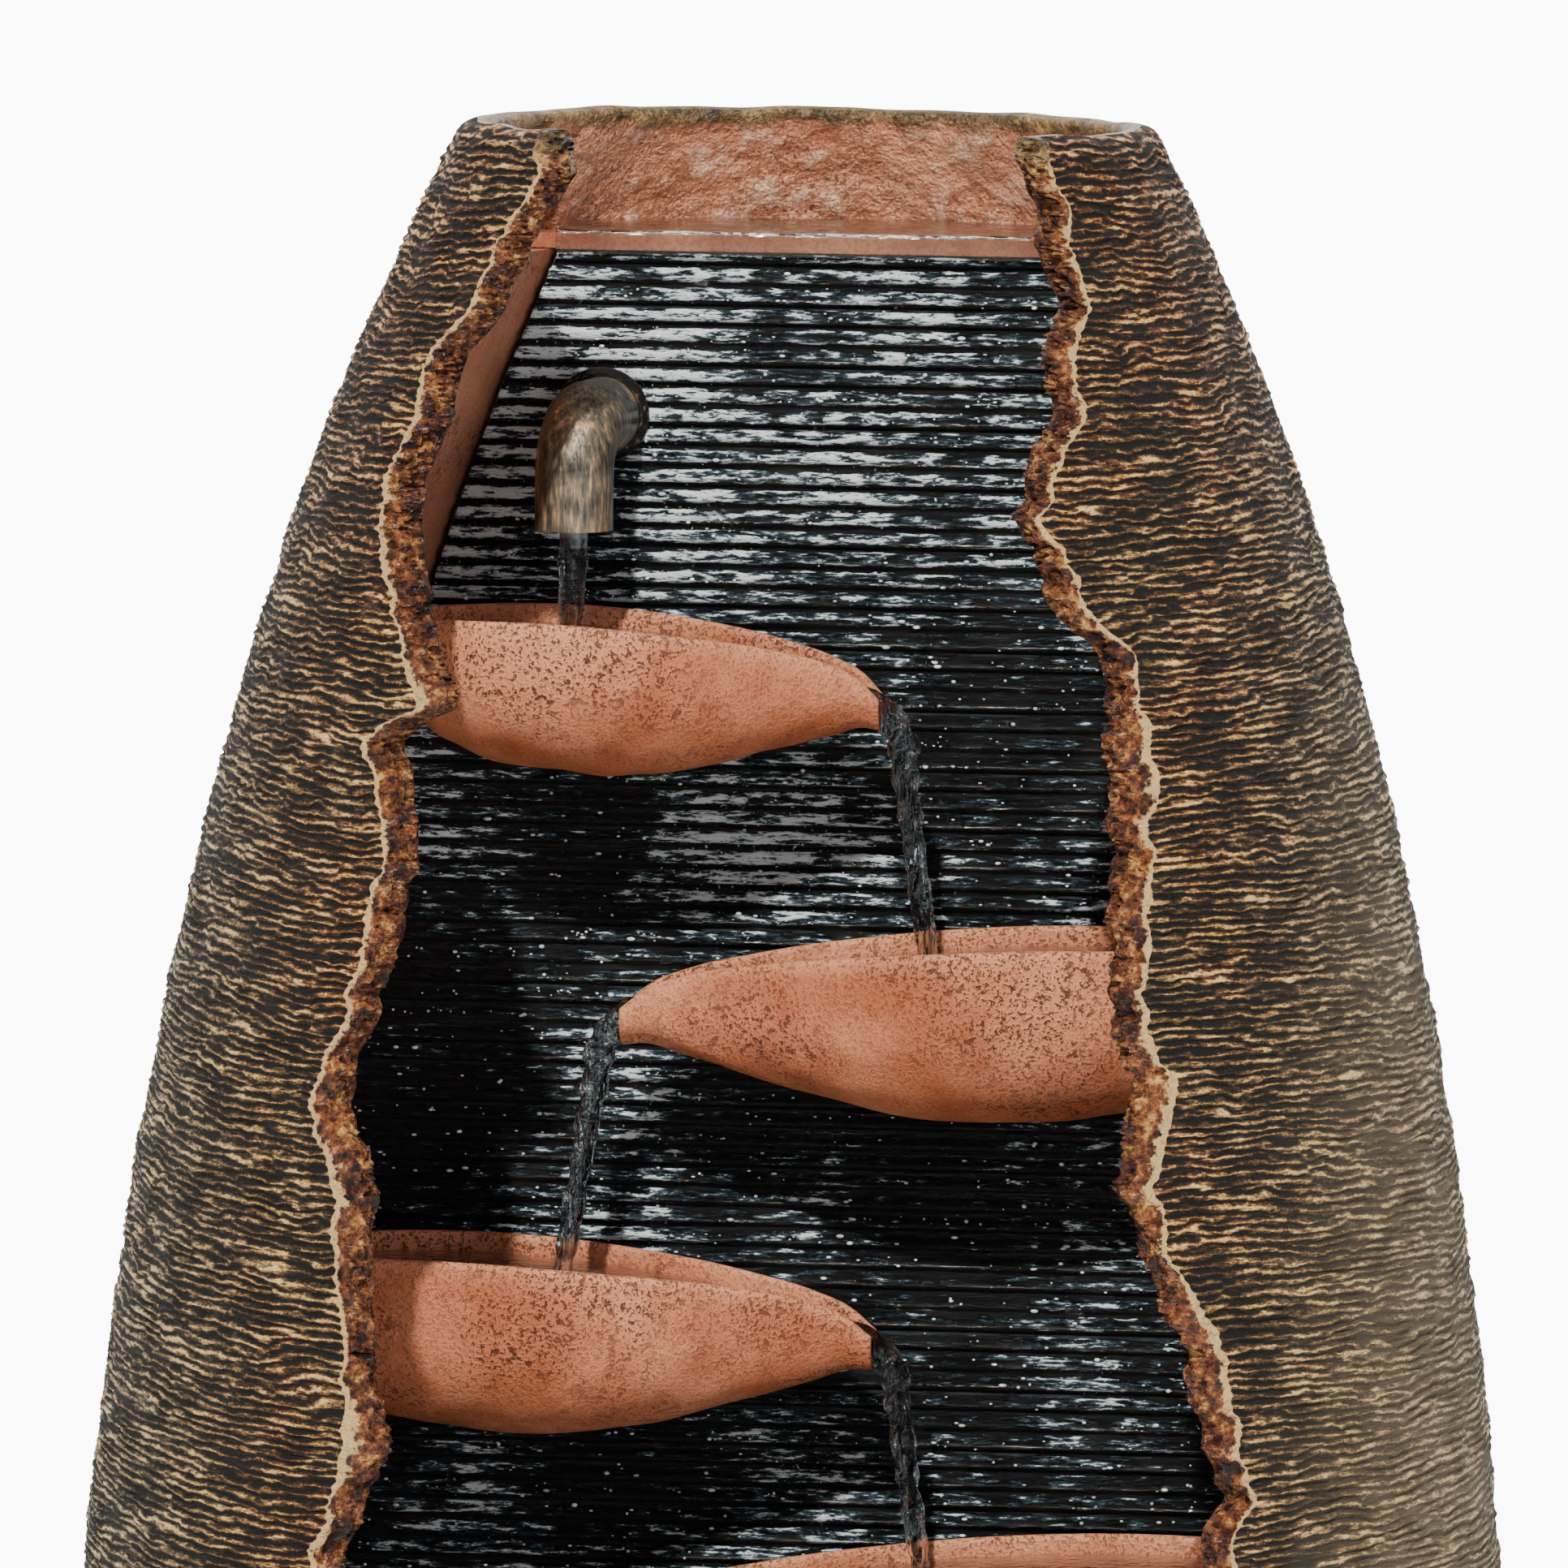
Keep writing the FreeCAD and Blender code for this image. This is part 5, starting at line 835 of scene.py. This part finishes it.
rng = np.random.default_rng(7)
DROPS = 2400
drop_height = rng.uniform(0.44, 0.975, DROPS)
drop_x = rng.uniform(-1, 1, DROPS) * 0.93
drop_rib = RIB_FIRST + RIB_PITCH * np.round((drop_height - RIB_FIRST) / RIB_PITCH)
drop_rib = drop_rib + rng.normal(0, 0.0013, DROPS)
drop_size = np.minimum(rng.lognormal(math.log(0.00038), 0.40, DROPS), 0.0008)
drop_y = np.full(DROPS, WALL_PLANE - RIB_DEEP - 0.0009)
drop_places = np.stack([drop_x * wall_half_width(drop_rib), drop_y, drop_rib], -1)
drop_radii = np.stack([drop_size * rng.uniform(0.9, 2.4, DROPS), drop_size * 0.7, drop_size], -1)
bead_points, bead_faces = beads(drop_places, drop_radii)
spray = clean_out(solid_of("wall_spray", bead_points, [bead_faces], [drop_water]))


# Upper reservoir: a terracotta trough behind the wall with a level spill edge across the niche. The
# CAD node keeps its shape; its clay is wet and dark.
wet_clay, shader, surface = finish_of("wet_clay")
clay, pitting = fired_clay(shader, (0.66, 0.25, 0.12), (0.34, 0.10, 0.045), (0.10, 0.03, 0.015), 0.7)
feed(shader, surface, Base_Color=clay, Roughness=0.16, Specular_IOR_Level=0.6,
     Normal=shader.bump(pitting, 0.0012, 0.7))
dress(wet_clay, "upper_reservoir")


def closed_sheet(name, top, thick, material):
    """A thin closed body from a grid of points and the offset of its underside."""
    rows, columns = top.shape[:2]
    ids = np.arange(rows * columns).reshape(rows, columns)
    points = np.concatenate([top.reshape(-1, 3), (top + np.array(thick)).reshape(-1, 3)])
    faces = [strips(ids), strips(ids)[:, ::-1] + ids.size, skirt(ids)]
    return clean_out(solid_of(name, points, faces, [material]))


# Water in the reservoir, brim-full, sliding over the spill edge onto the first rib.
RESERVOIR_LEVEL = 0.9944
share = np.linspace(-1, 1, 150)[None, :]
along = np.linspace(0, 1, 46)[:, None]
half = wall_half_width(0.988) + 0.002 + 0 * along
x = share * half
back_y = np.sqrt((jar_radius(0.99) - JAR_WALL - 0.0005)**2 - x**2)
y = 0.0352 + (back_y - 0.0352) * along
turn = x * 5 + math.pi
ripple = 0.0003 * waver(turn + y * 9, 0.5 + y, 90, 0.012, 71)
ripple = ripple + 0.0002 * waver(turn, 0.5 + y * 2, 200, 0.006, 72)
z = RESERVOIR_LEVEL + ripple
spill_y = np.array([0.0347, 0.0342, 0.0341, 0.0344])[::-1, None] + 0 * x[:1]
spill_z = np.array([0.9936, 0.9920, 0.9890, 0.9850])[::-1, None] + 0.2 * ripple[:1]
top = np.stack([np.concatenate([0 * spill_y + x[:1], x + 0 * y]), np.concatenate([spill_y, y]),
                np.concatenate([spill_z, z])], -1)
reservoir_water = closed_sheet("reservoir_water", top, (0, 0.0006, -0.0008), clear_water)


# Pool in the jar's base, in front of the water wall.
POOL_LEVEL = 0.235
share = np.linspace(-1, 1, 90)[None, :]
along = np.linspace(0, 1, 60)[:, None]
half = math.sqrt((jar_radius(POOL_LEVEL) - JAR_WALL)**2 - 0.035**2) - 0.001
x = share * half
front_y = -np.sqrt(np.maximum((jar_radius(POOL_LEVEL) - JAR_WALL - 0.001)**2 - x**2, 0))
y = front_y + (0.0355 - front_y) * along
wave = 0.0008 * waver(x * 8 + 3, 0.5 + y, 60, 0.03, 73) + 0.0004 * waver(x * 8 + 3, 0.5 + y, 140, 0.012, 74)
top = np.stack([x + 0 * y, y, POOL_LEVEL + wave], -1)
pool_water = closed_sheet("pool_water", top, (0, 0, -0.002), clear_water)


# Bowls. Five leaf-shaped terracotta dishes, hand pressed and smoothed, each bolted to the wall by a
# pad on its back. One end is closed and tucked behind the jar; the other droops into an open lip.
BOWL_Y, BOWL_HALF, BOWL_WALL = -0.020, 0.048, 0.005
# Shares of the half width and of the depth, and the rim's droop, at shares of the length from the
# closed end.
BOWL_WIDE = ((0, 0.04), (.02, .30), (.05, .52), (.15, .82), (.27, .96), (.40, 1), (.52, .96), (.65, .80),
             (.79, .55), (.90, .37), (1, .27))
BOWL_DEEP = ((0, 0.04), (.02, .34), (.05, .58), (.15, .86), (.27, .97), (.40, 1), (.52, .97), (.65, .86),
             (.79, .66), (.90, .47), (1, .21))
BOWL_DROOP = ((0, 0), (.40, .0002), (.60, .004), (.80, .0105), (.90, .016), (.96, .022), (1, .030))
BOWL_ARC, BOWL_BEND = 46, 7
BOWL_PAD = 0.42
# Rim height, depth, and the x of the closed end and of the lip.
BOWLS = ((0.846, 0.062, -0.1613, 0.033), (0.722, 0.072, 0.1924, -0.068), (0.594, 0.072, -0.2148, 0.033),
         (0.479, 0.072, 0.228, -0.068), (0.360, 0.072, -0.2347, 0.033))


def bowl_section(t, deep):
    """Half width, depth and rim droop at a share t of the bowl's length."""
    return BOWL_HALF * smooth_line(BOWL_WIDE, t), deep * smooth_line(BOWL_DEEP, t), smooth_line(BOWL_DROOP, t)


def bowl_points(rim, deep, closed, lip, seed):
    """Closed loops of points across the bowl, one loop for each place along it.

    A loop runs down and up the outside as a squared-off half ellipse, over the round rim, back
    along the inside, and over the other rim. The last loops close the lip's clay."""
    t = 0.5 - 0.5 * np.cos(np.linspace(0, math.pi, 120))
    t = (0.5 * t + 0.5 * np.linspace(0, 1, 120))[:, None]
    half, depth, droop = bowl_section(t, deep)
    wall = BOWL_WALL * np.clip(0.35 + t / 0.1, 0, 1)
    round_up = wall / 2
    a = np.linspace(0, math.pi, BOWL_ARC)[None, :]
    bend = np.linspace(0, math.pi, BOWL_BEND + 2)[None, 1:-1]
    bulge = 0.0009 * np.sin(a) * waver(t * 3 + 0.4 * a, 0.2 + 0.12 * a + 0.5 * t, 17, 0.05, seed)
    out_y = -(half + bulge) * np.sign(np.cos(a)) * np.abs(np.cos(a))**0.92
    out_z = -(depth - round_up + bulge) * np.sin(a)**0.82
    half_in = np.maximum(half - wall, 0.0004)
    depth_in = np.maximum(depth - wall, 0.0006) * np.clip(t / 0.05, 0.02, 1)
    in_y = half_in * np.sign(np.cos(a)) * np.abs(np.cos(a))**0.92
    in_z = -depth_in * np.sin(a)**0.82
    mid, rad = 0.5 * (half + half_in), 0.5 * (half - half_in)
    far_y, far_z = mid + rad * np.cos(bend), np.minimum(rad, round_up * 1.3) * np.sin(bend)
    near_y, near_z = -mid + rad * np.cos(bend), far_z
    y = np.concatenate([out_y, far_y, in_y, near_y], 1)
    z = np.concatenate([out_z, far_z, in_z, near_z], 1) - round_up
    x = closed + (lip - closed) * t + 0 * y
    rim_mark = np.exp(np.minimum(z, 0) / 0.003)
    return np.stack([x, BOWL_Y + y, rim - droop + z], -1), rim_mark


def bowl_pad(rim, closed, lip):
    """Pad on the bowl's back: a rounded oblong that swells from the wall into the bowl."""
    centre = closed + (lip - closed) * BOWL_PAD
    turn = np.arange(48) / 48 * 2 * math.pi
    wide, tall = [np.sign(way) * np.abs(way)**0.4 for way in (np.cos(turn), np.sin(turn))]
    y, grow = np.array(((0.0362, 0.001), (0.0362, 1.05), (0.034, 1.03), (0.031, 0.98), (0.026, 0.96),
                        (0.018, 0.94), (0.018, 0.001))).T[..., None]
    return np.stack([centre + 0.035 * grow * wide, y + 0 * wide, rim - 0.025 + 0.013 * grow * tall], -1)


bowl_clay, shader, surface = finish_of("bowl_clay")
clay, pitting = fired_clay(shader, (0.86, 0.34, 0.175), (0.50, 0.135, 0.052), (0.10, 0.028, 0.012), 1.0)
pale_rim = shader.math("MULTIPLY", shader.attribute("rim"), 0.5)
feed(shader, surface, Base_Color=shader.mix(pale_rim, clay, (0.80, 0.37, 0.21)), Roughness=0.48,
     Specular_IOR_Level=0.4, Normal=shader.bump(pitting, 0.0030, 1.0))

for number, (rim, deep, closed, lip) in enumerate(BOWLS):
    grid, rim_mark = bowl_points(rim, deep, closed, lip, 80 + number)
    ids = np.arange(grid[..., 0].size).reshape(grid.shape[:2])
    loop = strips(looped(ids))
    inside = BOWL_ARC + BOWL_BEND
    inside_end = inside + BOWL_ARC
    caps = []
    for row in (ids[0], ids[-1]):
        out_run, in_run = row[:BOWL_ARC], row[inside:inside_end][::-1]
        caps.append(np.stack([out_run[:-1], out_run[1:], in_run[1:], in_run[:-1]], -1))
        for corner in (row[BOWL_ARC - 1:inside + 1], np.append(row[inside_end - 1:], row[0])):
            caps.append(np.stack([np.full(len(corner) - 2, corner[0]), corner[1:-1], corner[2:]], -1))
    pad = bowl_pad(rim, closed, lip)
    pad_ids = grid[..., 0].size + np.arange(pad[..., 0].size).reshape(pad.shape[:2])
    pad_loop = strips(looped(pad_ids))
    bowl = solid_of("bowl_%d_clay" % (number + 1), np.concatenate([grid.reshape(-1, 3), pad.reshape(-1, 3)]),
                    [loop, *caps, pad_loop], [bowl_clay],
                    marks={"rim": np.concatenate([rim_mark.ravel(), np.zeros(pad[..., 0].size)])})
    clean_out(bowl)
    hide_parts("bowl_%d" % (number + 1))

# Water in the bowls: nearly brim-full, and running down into the lip where the rim droops.
WATER_UNDER_RIM = 0.0075
for number, (rim, deep, closed, lip) in enumerate(BOWLS):
    t = np.linspace(0.035, 0.995, 110)[:, None]
    share = np.linspace(-1, 1, 30)[None, :]
    half, depth, droop = bowl_section(t, deep)
    under = np.minimum(WATER_UNDER_RIM, 0.45 * (depth - BOWL_WALL))
    reach = (under / np.maximum(depth - BOWL_WALL, 0.001))**(1 / 0.82)
    half = np.maximum((half - BOWL_WALL) * np.sqrt(np.clip(1 - reach**2, 0.01, 1)) + 0.0008, 0.0005)
    turn = share * half * 8 + math.pi
    ripple = 0.00045 * waver(turn + t, 0.1 + t, 80, 0.05, 90 + number)
    z = rim - droop - under + ripple
    top = np.stack([closed + (lip - closed) * t + 0 * z, BOWL_Y + share * half + 0 * z, z], -1)
    fill = closed_sheet("bowl_%d_water" % (number + 1), top, (0, 0, -0.0014), clear_water)


# Streams. Each falls from a lip in a widening curve, twisting and pinching as it goes, and ends in
# the water below.
def stream(name, places, wide, thick, turns, seed):
    """A tube of water along a curve through (share, x, y, z) places.

    Its section is an oval that turns as it falls, and each ring is swollen or pinched by waver."""
    places = np.array(places)
    t = np.linspace(0, 1, 150)
    line = np.stack([smooth_line(places[:, (0, k)], t) for k in (1, 2, 3)], -1)
    ahead = np.gradient(line, axis=0)
    ahead /= np.linalg.norm(ahead, axis=1)[:, None]
    side = np.stack([0 * t, 0 * t + 1, 0 * t], -1)
    up = np.cross(ahead, side)
    a = np.arange(28)[None, :] / 28 * 2 * math.pi
    twist = turns * 2 * math.pi * (t**0.9)[:, None]
    wide_now = np.interp(t, *np.array(wide).T)[:, None]
    thick_now = np.interp(t, *np.array(thick).T)[:, None]
    pulse = 1 + 0.16 * np.sin(2 * twist + 0.6)
    pulse = pulse + 0.12 * waver(0 * t + 1, 0.1 + 0.4 * t, 3, 0.012, seed)[:, None]
    pulse = pulse + 0.07 * waver(a + 0 * twist, 0.1 + 0.5 * t[:, None], 6, 0.01, seed + 1)
    p = 0.5 * wide_now * np.cos(a) * pulse
    q = 0.5 * thick_now * np.sin(a) * (2 - pulse)
    spin = np.clip(t[:, None] * 4, 0, 1) * twist
    p, q = p * np.cos(spin) - q * np.sin(spin), p * np.sin(spin) + q * np.cos(spin)
    grid = line[:, None] + side[:, None] * p[..., None] + up[:, None] * q[..., None]
    grid[0] = line[0]
    grid[-1] = line[-1]
    ids = np.arange(grid[..., 0].size).reshape(grid.shape[:2])
    piece = solid_of(name, grid.reshape(-1, 3), [strips(looped(ids))], [stream_water])
    clean_out(piece)


stream_water, shader, surface = finish_of("stream_water")
thread = shader.noise(shader.place(1, 1, 0.14), 240, 2, 0.5)
colour = shader.ramp(thread, (0.44, (0.16, 0.20, 0.22)), (0.54, (0.70, 0.78, 0.80)), (0.62, (1.0, 1.0, 1.0)))
feed(shader, surface, Base_Color=colour, Roughness=0.0, IOR=1.333, Transmission_Weight=1.0,
     Normal=shader.bump(thread, 0.0035, 1.0))


nozzle_low, nozzle_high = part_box("spout_nozzle_tube")
nozzle_x, nozzle_y = [0.5 * (nozzle_low[k] + nozzle_high[k]) for k in (0, 1)]
stream("spout_stream",
       ((0, nozzle_x, nozzle_y, nozzle_low[2] + 0.004), (0.5, nozzle_x - 0.0005, nozzle_y, 0.856),
        (1, nozzle_x - 0.001, nozzle_y, 0.835)),
       ((0, 0.013), (1, 0.0095)), ((0, 0.012), (1, 0.0085)), 0.6, 101)
for number, (rim, deep, closed, lip) in enumerate(BOWLS):
    way = 1 if lip > closed else -1
    low = BOWLS[number + 1][0] - 0.0085 if number < 4 else POOL_LEVEL
    start = rim - 0.030
    fall = start - low
    drift = (0.020 if way > 0 else 0.023) * way
    stream("bowl_%d_stream" % (number + 1),
           ((0, lip - 0.020 * way, BOWL_Y, start + 0.0075), (0.10, lip - 0.003 * way, BOWL_Y, start - 0.0035),
            (0.20, lip + 0.006 * way, BOWL_Y, start - 0.012),
            (0.40, lip + 0.4 * drift + 0.002 * way, BOWL_Y, low + 0.68 * fall),
            (0.70, lip + 0.75 * drift, BOWL_Y, low + 0.33 * fall), (1, lip + drift, BOWL_Y, low - 0.001)),
           ((0, 0.006), (0.08, 0.014), (0.2, 0.013), (0.5, 0.010), (1, 0.0085)),
           ((0, 0.003), (0.08, 0.010), (0.2, 0.0125), (0.5, 0.009), (1, 0.008)), 2.1, 110 + 3 * number)


# Spout. An elbow of cast bronze pipe with a dark, worn patina, a black ring where it meets the
# wall, and a short clear tube in its mouth. All are CAD nodes.
bronze, shader, surface = finish_of("worn_bronze")
skin = shader.place(1, 1, 1)
scratch = shader.noise(shader.place(1, 1, 0.16), 520, 4, 0.65)
cloud = shader.noise(skin, 60, 4, 0.6)
worn = shader.sway(scratch, 1.1, cloud)
colour = shader.ramp(worn, (0.28, (0.030, 0.026, 0.020)), (0.46, (0.115, 0.098, 0.072)),
                     (0.58, (0.21, 0.165, 0.112)), (0.70, (0.46, 0.29, 0.150)), (0.84, (0.80, 0.60, 0.36)))
gloss = shader.node("ShaderNodeMapRange", n0=cloud, n1=0.3, n2=0.7, n3=0.30, n4=0.50).outputs[0]
feed(shader, surface, Base_Color=colour, Roughness=gloss, Metallic=0.45,
     Normal=shader.bump(scratch, 0.0007, 0.7))
dress(bronze, "spout_elbow", "spout_locknut")

ring_black, shader, surface = finish_of("ring_black")
rub = shader.noise(shader.place(1, 1, 1), 420, 3, 0.6)
feed(shader, surface, Base_Color=shader.ramp(rub, (0.55, (0.010, 0.009, 0.008)), (0.75, (0.30, 0.19, 0.08))),
     Roughness=0.35, Metallic=0.5, Normal=shader.bump(rub, 0.0005, 0.5))
dress(ring_black, "spout_escutcheon")


# Pump chamber. Behind the wall stand the pump, its hoses, the tee with the valve, the unions, the
# drain and the cord hole. They are CAD nodes, each in its own moulded, drawn or rubber finish.
def moulded(name, light, dark, grain, rough, depth=0.0004, metallic=0.0, brushed=False, **more):
    """Finish with soft colour clouds, fine grain and a slight unevenness of gloss."""
    made, shader, surface = finish_of(name)
    where = shader.place(1, 1, 0.12 if brushed else 1)
    fine = shader.noise(where, grain, 3, 0.6)
    cloud = shader.noise(shader.place(1, 1, 1), 30, 3, 0.5)
    tone = shader.sway(fine, 0.8, cloud)
    gloss = shader.node("ShaderNodeMapRange", n0=fine, n1=0.3, n2=0.7, n3=rough - 0.06, n4=rough + 0.08)
    feed(shader, surface, Base_Color=shader.ramp(tone, (0.3, dark), (0.7, light)), Roughness=gloss.outputs[0],
         Metallic=metallic, Normal=shader.bump(fine, depth, 0.5), **more)
    return made


dress(moulded("turned_steel", (0.66, 0.66, 0.64), (0.46, 0.46, 0.45), 900, 0.3, metallic=1.0, brushed=True),
      "bowl_studs", "bowl_washers", "bowl_nuts", "hose_clamps", "door_screws", "impeller_shaft")
dress(moulded("black_rubber", (0.035, 0.034, 0.033), (0.016, 0.016, 0.016), 700, 0.72),
      "spout_gasket", "inlet_gasket", "drain_gasket", "cord_grommet", "suction_cups", "pump_cable_gland")
dress(moulded("clear_tubing", (0.66, 0.70, 0.70), (0.52, 0.57, 0.58), 240, 0.2, Transmission_Weight=0.75,
              IOR=1.45), "spout_nozzle_tube", "riser_hose", "weir_hose", "spout_hose")
dress(moulded("grey_moulding", (0.30, 0.31, 0.32), (0.22, 0.23, 0.24), 620, 0.5),
      "inlet_bulkhead", "inlet_nut", "tee_fitting", "valve_body", "debris_screen", "drain_plug", "door_frame")
dress(moulded("black_moulding", (0.030, 0.030, 0.034), (0.016, 0.016, 0.018), 760, 0.42),
      "pump_body", "volute_cover", "pump_intake_cover")
dress(moulded("white_moulding", (0.78, 0.78, 0.75), (0.66, 0.66, 0.63), 640, 0.45), "impeller")
dress(moulded("red_moulding", (0.50, 0.045, 0.03), (0.36, 0.028, 0.02), 640, 0.4),
      "valve_handle", "flow_slider")
dress(moulded("grey_ferrite", (0.10, 0.10, 0.11), (0.05, 0.05, 0.055), 800, 0.45, metallic=0.6),
      "magnet_rotor")
dress(moulded("black_foam", (0.05, 0.05, 0.055), (0.008, 0.008, 0.009), 520, 0.95, depth=0.002), "pump_foam")
